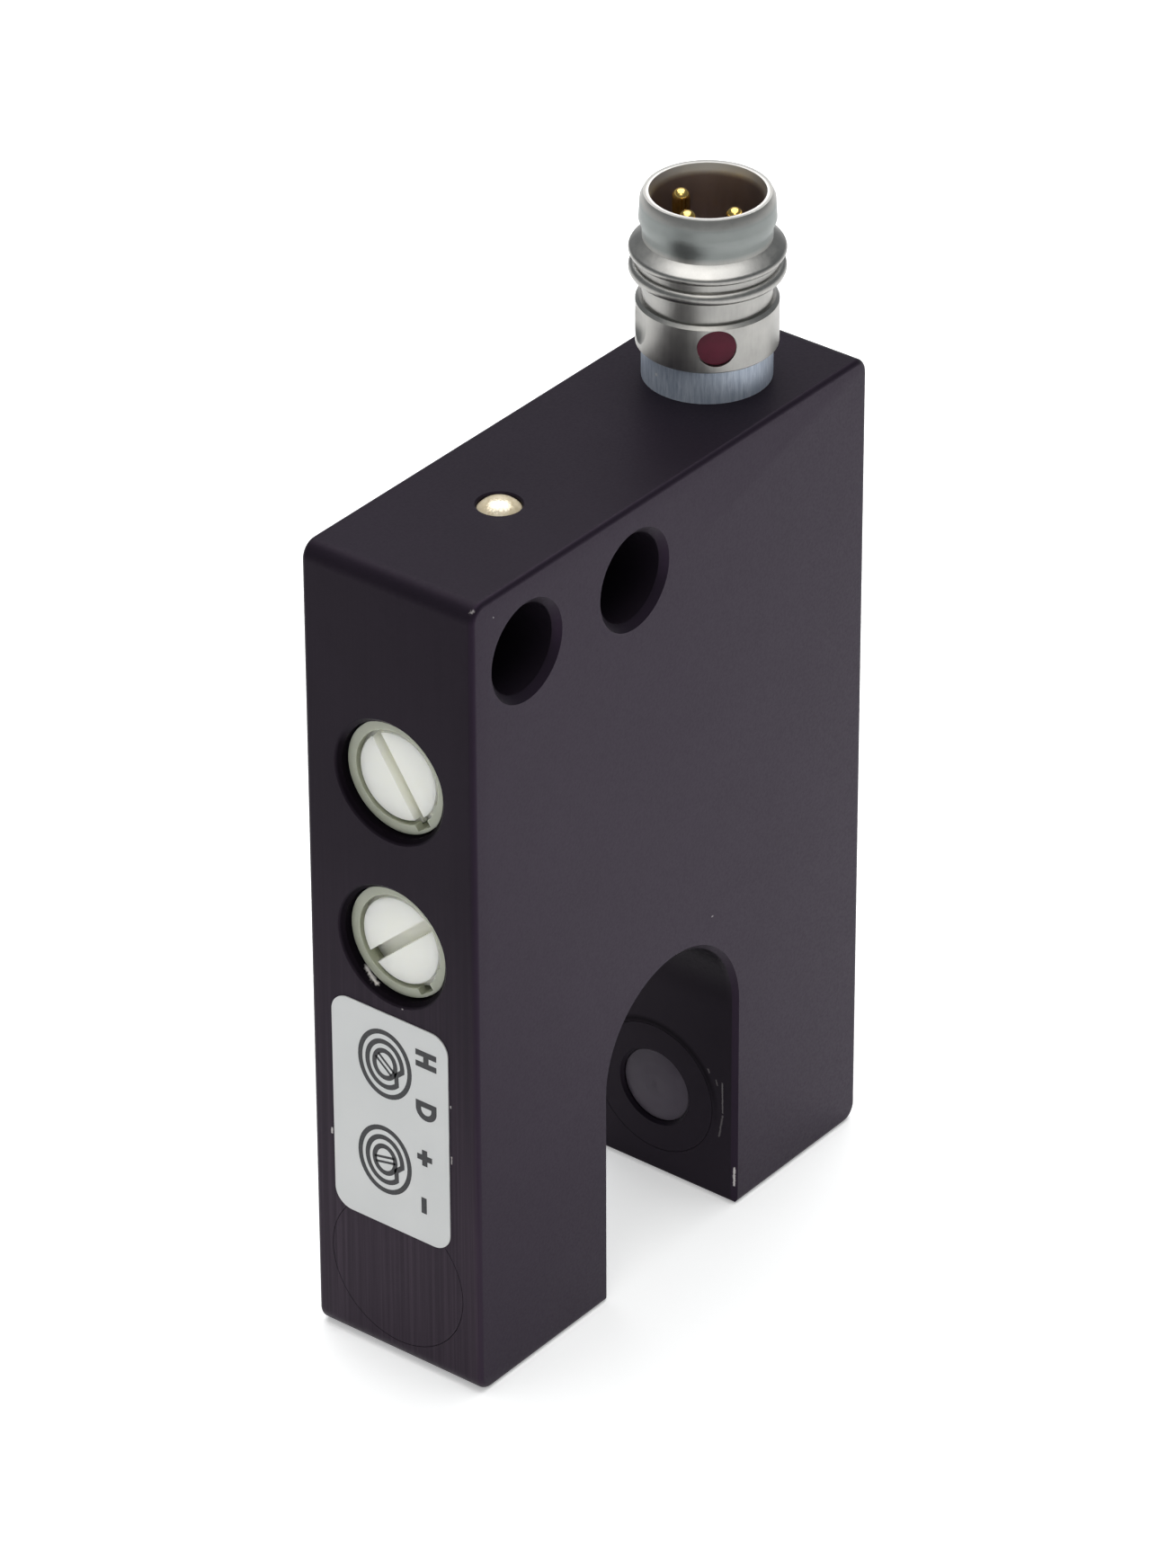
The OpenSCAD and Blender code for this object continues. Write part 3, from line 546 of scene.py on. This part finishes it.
wear(black_anodised("black_anodised_aluminium", HOUSING_MARKS), "housing")
wear(black_anodised("black_anodised_cover", streaks=0), "rear_cover")
wear(black_anodised("black_anodised_plug", roughness=(0.3, 0.42)), "emitter_plug", "receiver_plug")
wear(black_anodised("black_anodised_holder", streaks=0.15), "emitter_holder", "receiver_holder")

# %% [markdown]
# ## Plain moulded, plated and rubber pieces
# Many small pieces share two kinds of finish. Moulded plastics, resins and rubber are dull and slightly
# mottled, and plated or drawn metals are brighter with a finer grain. A material of its own for each would
# repeat the same nodes, so one function makes them all from a colour, whether it is metal, a roughness and
# the size of the grain in millimetres.

# %% Small pieces
# Colour, metallic, roughness, grain in millimetres and nodes of each material
SMALL_PIECES = {
    # Cast resin that passes infrared: dark violet and glossy
    "diode_resin": ("#3d3547", 0, 0.2, 0.8, ["emitter_led", "receiver_diode"]),
    # Glass fibre board under lacquer: green, smooth and a little cloudy
    "board_laminate": ("#2f6b45", 0, 0.4, 0.5, ["circuit_board"]),
    # Moulded epoxy: dull black with a fine tooth
    "chip_resin": ("#222226", 0, 0.55, 0.2, ["comparator_chip", "regulator_chip", "output_transistor"]),
    # Fired ceramic: brown and dry
    "chip_ceramic": ("#8f775c", 0, 0.5, 0.2, ["chip_resistors", "chip_capacitors"]),
    # Cast resin over the indicator's chip: milky cream
    "led_resin": ("#efe6c8", 0, 0.3, 0.4, ["status_led"]),
    # Pressed laminate of the trimmers' tracks: dull brown
    "track_laminate": ("#4b4038", 0, 0.5, 0.3, ["upper_base", "lower_base"]),
    # Rolled bronze: warm and bright
    "spring_bronze": ("#b98a4a", 1, 0.3, 0.1, ["upper_wiper", "lower_wiper"]),
    # Dipped tin: pale and soft
    "tinned_metal": ("#c8c8c4", 1, 0.32, 0.15, ["upper_legs", "lower_legs"]),
    # Moulded rubber: black and matt
    "seal_rubber": ("#1d1d1f", 0, 0.65, 0.2, ["collar_seal"]),
    # Moulded plastic that carries the pins: violet grey and satin
    "insert_plastic": ("#77707a", 0, 0.45, 0.3, ["contact_insert"]),
    # Drawn plastic sleeves: orange brown and satin
    "wire_sleeve": ("#b5562f", 0, 0.45, 0.4, ["connector_wires"]),
}
PATCH_SHADE = 0.75
PIECE_SPREAD = 0.08


def small_piece(name, colour, metallic, roughness, grain_mm):
    """One colour with a soft mottle of the given grain, which also roughens and dimples it a little."""
    material, tree, in_mm = start_material(name)
    full = linear(colour)
    darker = tuple(PATCH_SHADE * c for c in full[:3]) + (1,)
    grain, tone = two_tone(tree, in_mm, grain_mm, darker, full, detail=3)
    rough = add_node(
        tree,
        "ShaderNodeMapRange",
        {"Value": grain, "To Min": roughness - PIECE_SPREAD, "To Max": roughness + PIECE_SPREAD},
    )
    bump = add_node(tree, "ShaderNodeBump", {"Height": grain, "Strength": 0.15, "Distance": 0.02 * MM})
    sockets = {
        "Base Color": tone,
        "Metallic": metallic,
        "Roughness": rough.outputs[0],
        "Normal": bump.outputs[0],
    }
    end_material(tree, sockets)
    return material


for name, (colour, metallic, roughness, grain_mm, wearers) in SMALL_PIECES.items():
    wear(small_piece(name, colour, metallic, roughness, grain_mm), *wearers)

# %% [markdown]
# ## Turned nickel and aluminium
# The connector shell was turned on a lathe and nickel plated, and the collar below it is bare turned
# aluminium. The cutter leaves fine rings round the axis, and handling adds short upright rubs, so highlights
# spread and look streaky. Thousands of real grooves would be too heavy to model. A bump that depends only on
# the distance from the axis and the height does the same, with a shader that is anisotropic round the axis.
# The rings are drawn coarser than real so that they show. The shell also takes painted light by place:
# painted shade that greys the upper wall's reflection, a warmer painted tint inside against the gold pins'
# reflection, and painted highlights on the mouth and rim.

# %% Places on the connector
shell_low, shell_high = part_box("connector_shell")
AXIS_X_MM = (shell_low.x + shell_high.x) / 2 / MM
RIM_Z_MM = shell_high.z / MM
# Radius in the middle of the shell's wall, and one beyond all of it
WALL_R_MM = 2.9
BEYOND_R_MM = 4
# Heights from the rim, radii and colours
SHELL_PAINTED_LIGHT = [
    # Painted shade that greys the upper wall's reflection
    ((-2.15, -0.4), (WALL_R_MM, BEYOND_R_MM), "#757c7b"),
    # Painted tint inside against the gold pins' reflection
    ((-8.15, -0.45), (0, WALL_R_MM), "#b4a6a9"),
    # Painted highlight in the mouth
    ((-0.45, 0.85), (0, WALL_R_MM), "#fbf8f2"),
    # Painted highlight on the rim
    ((-0.2, 0.85), (WALL_R_MM, BEYOND_R_MM), "#bab8b3"),
]
# How strongly the painted light covers the metal's own tone
PAINTED_LIGHT_SHARE = 0.75
ZONE_HIGH_SOFT_MM = 0.15
ZONE_WIDE_SOFT_MM = 0.04
COLLAR_MARKS = [((5.95, 0.67, 44.5), (5.95, 0.65, 44.45), 0.2, 1)]
BRIGHT_MARK = "#ffffff"


def round_axis(tree, in_mm):
    """The distance of each point from the connector's axis, and its height."""
    centred = add_node(
        tree, "ShaderNodeVectorMath", {0: in_mm, 1: (AXIS_X_MM, 0, 0)}, operation="SUBTRACT"
    )
    across, deep, height = add_node(tree, "ShaderNodeSeparateXYZ", {0: centred.outputs[0]}).outputs
    level = add_node(tree, "ShaderNodeCombineXYZ", {0: across, 1: deep})
    radius = add_node(tree, "ShaderNodeVectorMath", {0: level.outputs[0]}, operation="LENGTH")
    return radius.outputs["Value"], height


print("connector axis at", round(AXIS_X_MM, 2), "mm, rim at", round(RIM_Z_MM, 2), "mm")

# %% Turned metal
RING_MM = 0.09
RUB_MM = 0.17
RUB_LONG_MM = 1.6
RUB_DEPTH = 3
STAIN_MM = 1.6
TURNED_SPREAD = 0.1


def turned_metal(name, dark, light, roughness, streaky, metallic=1, marks=(), painted_light_zones=()):
    """Metal with fine rings round the connector's axis, upright rubs, a faint stain, and painted shade, tint
    and highlights by place.
    """
    material, tree, in_mm = start_material(name)
    radius, height = round_axis(tree, in_mm)
    turning = add_node(tree, "ShaderNodeCombineXYZ", {0: radius, 2: height})
    rings = add_node(
        tree, "ShaderNodeTexNoise", {"Vector": turning.outputs[0], "Scale": 1 / RING_MM, "Detail": 2}
    )
    stretch = (1 / RUB_MM, 1 / RUB_MM, 1 / RUB_LONG_MM)
    upright = add_node(tree, "ShaderNodeVectorMath", {0: in_mm, 1: stretch}, operation="MULTIPLY")
    rubs = add_node(
        tree,
        "ShaderNodeTexNoise",
        {"Vector": upright.outputs[0], "Scale": 1, "Detail": 3, "Roughness": 0.7},
    ).outputs[0]
    stain = add_node(tree, "ShaderNodeTexNoise", {"Vector": in_mm, "Scale": 1 / STAIN_MM, "Detail": 3})
    shade = add_node(tree, "ShaderNodeMix", {0: streaky, 2: stain.outputs[0], 3: rubs})
    shade = add_node(
        tree, "ShaderNodeMapRange", {"Value": shade.outputs[0], "From Min": 0.3, "From Max": 0.7}
    )
    tone = add_node(
        tree, "ShaderNodeMix", {0: shade.outputs[0], 6: linear(dark), 7: linear(light)}, data_type="RGBA"
    )
    layers = []
    for (foot, top), radii, tint in painted_light_zones:
        high = (height, RIM_Z_MM + foot, RIM_Z_MM + top, ZONE_HIGH_SOFT_MM)
        layers.append((zone_mask(tree, PAINTED_LIGHT_SHARE, high, (radius, *radii, ZONE_WIDE_SOFT_MM)), tint))
    if marks:
        layers.append((mark_mask(tree, in_mm, marks), BRIGHT_MARK))
    rough = add_node(
        tree,
        "ShaderNodeMapRange",
        {"Value": rubs, "To Min": roughness - TURNED_SPREAD, "To Max": roughness + TURNED_SPREAD},
    )
    relief = add_node(
        tree, "ShaderNodeMath", {0: rubs, 1: RUB_DEPTH, 2: rings.outputs[0]}, operation="MULTIPLY_ADD"
    )
    bump = add_node(
        tree, "ShaderNodeBump", {"Height": relief.outputs[0], "Strength": 0.1, "Distance": 0.01 * MM}
    )
    tangent = add_node(tree, "ShaderNodeTangent", direction_type="RADIAL", axis="Z")
    sockets = {
        "Base Color": paint_over(tree, tone.outputs[2], layers),
        "Metallic": metallic,
        "Roughness": rough.outputs[0],
        "Anisotropic": 0.35,
        "Tangent": tangent.outputs[0],
        "Normal": bump.outputs[0],
    }
    end_material(tree, sockets)
    return material


nickel = turned_metal(
    "turned_nickel_plate", "#989794", "#b4b2ae", roughness=0.38, streaky=0.35, painted_light_zones=SHELL_PAINTED_LIGHT
)
wear(nickel, "connector_shell")
# Oxide dulls the bare aluminium, so it is only partly metallic
aluminium = turned_metal(
    "turned_bare_aluminium",
    "#abb8cb",
    "#e3ebf7",
    roughness=0.5,
    streaky=1,
    metallic=0.4,
    marks=COLLAR_MARKS,
)
wear(aluminium, "connector_collar")

# %% [markdown]
# ## Gilt pins and the red mark
# The contact pins are plated with gold and polished, so they are small bright mirrors with a trace of
# tarnish. The red mark is enamel paint that fills one of the dimples: wine red, satin, and a little uneven
# where it pooled. Both solids come from the frame, so a colour in patches and a roughness are enough.

# %% Gold and paint
TARNISH_MM = 0.4
PAINT_POOL_MM = 0.7

material, tree, in_mm = start_material("polished_gold_plate")
tarnish, gold = two_tone(tree, in_mm, TARNISH_MM, linear("#c39a48"), linear("#ecd083"), detail=3)
rough = add_node(tree, "ShaderNodeMapRange", {"Value": tarnish, "To Min": 0.12, "To Max": 0.24})
end_material(tree, {"Base Color": gold, "Metallic": 1, "Roughness": rough.outputs[0]})
wear(material, "contact_pins")

material, tree, in_mm = start_material("red_enamel_paint")
pooled, red = two_tone(tree, in_mm, PAINT_POOL_MM, linear("#471123"), linear("#6b1b33"))
bump = add_node(tree, "ShaderNodeBump", {"Height": pooled, "Strength": 0.2, "Distance": 0.05 * MM})
end_material(tree, {"Base Color": red, "Roughness": 0.4, "IOR": 1.3, "Normal": bump.outputs[0]})
wear(material, "index_mark")

# %% [markdown]
# ## Translucent trimmers
# The trimmers are moulded from nylon. The case is natural, a greyish green that lets light through, and the
# rotor is filled with white pigment. Glass with a milky volume could make them, but it renders slowly and
# with noise. Light that enters nylon comes out softly nearby, so subsurface scattering is enough. It reaches
# deeper in the rotor, which looks pearly.

# %% Trimmers
FLOW_MM = 1.2
NYLON_SPREAD = 0.06


def trimmer_nylon(name, dark, light, roughness, scatter, depth_mm):
    """Moulded nylon: milky, with soft flow marks, and light that comes out again within a depth."""
    material, tree, in_mm = start_material(name)
    flow, tone = two_tone(tree, in_mm, FLOW_MM, linear(dark), linear(light), detail=3, distortion=0.6)
    rough = add_node(
        tree,
        "ShaderNodeMapRange",
        {"Value": flow, "To Min": roughness - NYLON_SPREAD, "To Max": roughness + NYLON_SPREAD},
    )
    sockets = {
        "Base Color": tone,
        "Roughness": rough.outputs[0],
        "IOR": 1.53,
        "Subsurface Weight": scatter,
        "Subsurface Radius": (1, 1, 0.9),
        "Subsurface Scale": depth_mm * MM,
    }
    end_material(tree, sockets)
    return material


natural = trimmer_nylon("natural_nylon", "#9b9e8c", "#b2b5a4", roughness=0.36, scatter=0.6, depth_mm=0.4)
wear(natural, "upper_case", "lower_case")
filled = trimmer_nylon("white_nylon", "#fcfbe9", "#fffff0", roughness=0.42, scatter=0.85, depth_mm=1.2)
wear(filled, "upper_rotor", "lower_rotor")

# %% [markdown]
# ## Lens and indicator window
# The lenses are moulded from smoked acrylic that passes only the infrared beam, so they look like dark grey
# milk under a faint, thin gloss. Nothing can be seen through them, so they need no see-through shader. The
# indicator window is clear epoxy over a small light: warm white, with golden edges. Its bright spot is a
# painted glint, a small glowing pool drawn as one mark.

# %% Lens and window
HAZE_MM = 1.8
BUBBLE_MM = 0.25
# Strength of the painted glint's glow, and its depth below the window's top
GLINT_GLOW_STRENGTH = 1.1
GLINT_BELOW_MM = 0.05

material, tree, in_mm = start_material("smoked_acrylic")
_, smoke = two_tone(tree, in_mm, HAZE_MM, linear("#443c48"), linear("#565058"))
# The facets' own normals: the smoothed ones leave a dark dot at the middle of the dome
facet_normal = add_node(tree, "ShaderNodeNewGeometry").outputs["True Normal"]
sockets = {
    "Base Color": smoke,
    "Roughness": 0.55,
    "IOR": 1.49,
    "Specular IOR Level": 0.12,
    "Coat Weight": 0.08,
    "Coat Roughness": 0.06,
    "Normal": facet_normal,
}
end_material(tree, sockets)
wear(material, "emitter_lens", "receiver_lens")

guide_low, guide_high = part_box("light_guide")
guide_x = (guide_low.x + guide_high.x) / 2 / MM
glint_z = guide_high.z / MM - GLINT_BELOW_MM
# The painted glint: one glowing mark near the front of the window
PAINTED_GLINT_MARKS = [((guide_x - 0.52, -0.14, glint_z), (guide_x - 0.24, -0.48, glint_z), 0.8, 1)]

material, tree, in_mm = start_material("clear_epoxy")
_, amber = two_tone(tree, in_mm, BUBBLE_MM, linear("#a39579"), linear("#d8ccb2"), detail=3)
# The painted glint glows through this mask
pool = mark_mask(tree, in_mm, PAINTED_GLINT_MARKS)
glint_glow = add_node(tree, "ShaderNodeMath", {0: pool, 1: GLINT_GLOW_STRENGTH}, operation="MULTIPLY")
sockets = {
    "Base Color": amber,
    "Roughness": 0.12,
    "IOR": 1.55,
    "Subsurface Weight": 0.4,
    "Subsurface Radius": (1, 0.9, 0.7),
    "Subsurface Scale": 0.4 * MM,
    "Emission Color": linear("#fff3d8"),
    "Emission Strength": glint_glow.outputs[0],
}
end_material(tree, sockets)
wear(material, "light_guide")

# %% [markdown]
# ## The label and its print
# The sticker is a matt polyester film, printed with a picture of each dial and the marks H, D, + and - beside
# them. The film gets a fine tooth, coarser than real so that it shows. The print could be a picture or text
# from a font, but a picture blurs and a font has no dials. So it is real geometry: strokes of a given width
# along a path, laid on the film, which stay sharp from any side.

# %% Film and ink
TOOTH_MM = 0.15
CLOUD_MM = 4
SPECKLE_MM = 0.1

material, tree, in_mm = start_material("matt_polyester_film")
tooth = add_node(tree, "ShaderNodeTexNoise", {"Vector": in_mm, "Scale": 1 / TOOTH_MM, "Detail": 2})
_, film = two_tone(tree, in_mm, CLOUD_MM, linear("#cacccb"), linear("#d6d6d5"))
bump = add_node(
    tree, "ShaderNodeBump", {"Height": tooth.outputs[0], "Strength": 0.1, "Distance": 0.01 * MM}
)
end_material(tree, {"Base Color": film, "Roughness": 0.5, "IOR": 1.5, "Normal": bump.outputs[0]})
wear(material, "adjuster_label")

# Dull dark grey, a little uneven as thick ink dries
ink, tree, in_mm = start_material("screen_print_ink")
_, grey = two_tone(tree, in_mm, SPECKLE_MM, linear("#303032"), linear("#4a4a4c"))
end_material(tree, {"Base Color": grey, "Roughness": 0.5, "Specular IOR Level": 0.2})

# %% Strokes of ink
MARK_STROKE = 0.32
OVAL = (0.9, 1.07)
ARC_STEP = 7.5
# Limits how far the corner of a stroke reaches out
SHARPEST_CORNER = 0.5

label_low, label_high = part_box("adjuster_label")
label_x = label_low.x
label_mid = Vector((-(label_low.y + label_high.y), label_low.z + label_high.z)) / 2 / MM
print("label's middle", [round(v, 2) for v in label_mid], "mm to the front and up")


def arc(centre, radius, first, last):
    """Points along an arc, with angles in degrees."""
    steps = max(2, round(abs(last - first) / ARC_STEP))
    angles = [math.radians(first + (last - first) * k / steps) for k in range(steps + 1)]
    return [(centre[0] + radius * math.cos(a), centre[1] + radius * math.sin(a)) for a in angles]


def oval(centre, path):
    """The path drawn narrower and taller about a centre, as the printed dials are."""
    return [tuple(c + k * (p - c) for c, k, p in zip(centre, OVAL, point)) for point in path]


def ink_stroke(mesh, path, width, closed=False):
    """Adds a flat stroke along a path on the label, which runs towards the front and upwards in mm."""
    points = [Vector(p) for p in path]
    count = len(points)
    sides = []
    for k, point in enumerate(points):
        before = points[k - 1] if closed or k else point
        after = points[(k + 1) % count] if closed or k < count - 1 else point
        first = (point - before).normalized() if point != before else (after - point).normalized()
        second = (after - point).normalized() if after != point else first
        middle = (first + second).normalized()
        reach = width / 2 / max(SHARPEST_CORNER, middle.dot(first))
        out = Vector((-middle.y, middle.x)) * reach
        sides.append([mesh.verts.new((label_x, -(p.x * MM), p.y * MM)) for p in (point + out, point - out)])
    for k in range(count if closed else count - 1):
        a, b = sides[k], sides[(k + 1) % count]
        mesh.faces.new((a[0], a[1], b[1], b[0]))


def letter(mesh, centre, strokes):
    """Adds a mark that reads downwards: its own right is down and its own top is towards the front."""
    for path, closed in strokes:
        turned = [(centre[0] + y, centre[1] - x) for x, y in path]
        ink_stroke(mesh, turned, MARK_STROKE, closed)


# %% Pictures of the dials
DIAL_STROKE = 0.26
DIAL_RING_R = 1.66
DIAL_NOTCHED_R = 1.17
DIAL_DISC_R = 0.7
# The notch runs between two angles and points in to a smaller radius
NOTCH_FROM = -48
NOTCH_TO = -2
NOTCH_R = 0.84
SLOT_STROKE = 0.13
SLOT_OFFSET = 0.14
SLOT_SHARE = 0.9


def dial_picture(mesh, centre, slot_angle):
    """Adds a dial's picture: a ring, a notched ring inside it, and a slotted disc in the middle."""
    middle = (NOTCH_FROM + NOTCH_TO) / 2
    bite = arc(centre, NOTCH_R, middle, middle + 1)[0]
    paths = (
        arc(centre, DIAL_RING_R, 0, 360 - ARC_STEP),
        [bite] + arc(centre, DIAL_NOTCHED_R, NOTCH_TO, 360 + NOTCH_FROM),
        arc(centre, DIAL_DISC_R, 0, 360 - ARC_STEP),
    )
    for path in paths:
        ink_stroke(mesh, oval(centre, path), DIAL_STROKE, closed=True)
    slope = math.radians(slot_angle)
    along = Vector((math.cos(slope), math.sin(slope)))
    across = Vector((-along.y, along.x)) * SLOT_OFFSET
    half = along * math.sqrt(DIAL_DISC_R**2 - SLOT_OFFSET**2) * SLOT_SHARE
    for offset in (across, -across):
        ink_stroke(mesh, [centre + offset - half, centre + offset + half], SLOT_STROKE)


# %% Print on the label
INK_MM = 0.006
MARK_TALL = 1.25
MARK_WIDE = 0.95
SIGN_ARM = 0.45
BOWL_X = -0.05

bar = MARK_STROKE / 2
tall, wide = MARK_TALL / 2 - bar, MARK_WIDE / 2 - bar
MARK_H = [
    ([(-wide, -MARK_TALL / 2), (-wide, MARK_TALL / 2)], False),
    ([(wide, -MARK_TALL / 2), (wide, MARK_TALL / 2)], False),
    ([(-wide + bar, 0), (wide - bar, 0)], False),
]
MARK_D = [([(-wide, tall), (-wide, -tall)] + arc((BOWL_X, 0), tall, -90, 90), True)]
MARK_MINUS = [([(-SIGN_ARM, 0), (SIGN_ARM, 0)], False)]
MARK_PLUS = MARK_MINUS + [
    ([(0, bar), (0, SIGN_ARM)], False),
    ([(0, -bar), (0, -SIGN_ARM)], False),
]
# Places from the label's middle, towards the front and up
DIALS = [((-0.3, 3.18), -40), ((-0.4, -2.29), 12)]
MARKS = [
    ((2.2, 4.39), MARK_H),
    ((2.17, 1.54), MARK_D),
    ((2.03, -1.2), MARK_PLUS),
    ((1.95, -3.94), MARK_MINUS),
]

mesh = bmesh.new()
for place, slot_angle in DIALS:
    dial_picture(mesh, label_mid + Vector(place), slot_angle)
for place, strokes in MARKS:
    letter(mesh, label_mid + Vector(place), strokes)
print_mesh = bpy.data.meshes.new("label_print")
mesh.to_mesh(print_mesh)
mesh.free()
label_print = bpy.data.objects.new("label_print", print_mesh)
bpy.context.scene.collection.objects.link(label_print)
thick = label_print.modifiers.new("ink_thickness", "SOLIDIFY")
thick.thickness = INK_MM * MM
thick.offset = 1
print_mesh.materials.append(ink)
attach(label_print, "sensor")
print("label print:", len(print_mesh.polygons), "faces")

# %% [markdown]
# ## Floor and light
# The photograph is a studio shot on pure white. A plain white floor would need so much light that the part
# would wash out, so the floor is a pale light table: opal acrylic that glows a little and throws light back
# into the front face. One soft light hangs overhead, a large one stands far behind, and a smaller one is high
# in front on the dial side. The surroundings are dim, so the edges between the faces stay dark.

# %% Floor
FLOOR_SIDE = 3000 * MM
FLOOR_GAP = 0.02 * MM
OPAL_MM = 30

floor_mesh = bpy.data.meshes.new("floor")
half = FLOOR_SIDE / 2
corners = [(-half, -half), (half, -half), (half, half), (-half, half)]
floor_mesh.from_pydata([(x, y, cad_low.z - FLOOR_GAP) for x, y in corners], [], [(0, 1, 2, 3)])
floor = bpy.data.objects.new("floor", floor_mesh)
bpy.context.scene.collection.objects.link(floor)
material, tree, in_mm = start_material("opal_acrylic")
_, white = two_tone(tree, in_mm, OPAL_MM, linear("#f4f4f4"), linear("#f8f8f8"))
sockets = {
    "Base Color": white,
    "Roughness": 0.9,
    "Specular IOR Level": 0.1,
    "Emission Color": white,
    "Emission Strength": 0.4,
}
end_material(tree, sockets)
floor_mesh.materials.append(material)
print(material.name, "on the floor,", round(FLOOR_SIDE / MM), "mm wide")

# %% Lights
AIM = Vector((0, 0, 20)) * MM
# Place and side in millimetres, power in watts, and colour
SOFT_LIGHTS = {
    "overhead_softbox": ((50, 40, 280), 310, 0.95, "#ffffff"),
    "back_softbox": ((640, 500, 560), 620, 0.68, "#fbfaff"),
    "front_softbox": ((-215, -170, 480), 260, 0.5, "#fffdf8"),
}
ROOM_COLOUR = "#e6edf2"
ROOM_STRENGTH = 0.25

for name, (place, side, power, colour) in SOFT_LIGHTS.items():
    lamp = bpy.data.lights.new(name, "AREA")
    lamp.shape = "SQUARE"
    lamp.size = side * MM
    lamp.energy = power
    lamp.color = linear(colour)[:3]
    holder = bpy.data.objects.new(name, lamp)
    holder.location = Vector(place) * MM
    holder.rotation_euler = (AIM - holder.location).to_track_quat("-Z", "Y").to_euler()
    bpy.context.scene.collection.objects.link(holder)
print("lights:", ", ".join(SOFT_LIGHTS))

world = bpy.data.worlds.new("studio")
world.use_nodes = True
world.node_tree.nodes["Background"].inputs["Color"].default_value = linear(ROOM_COLOUR)
world.node_tree.nodes["Background"].inputs["Strength"].default_value = ROOM_STRENGTH
bpy.context.scene.world = world
bpy.context.scene.view_settings.view_transform = "Standard"
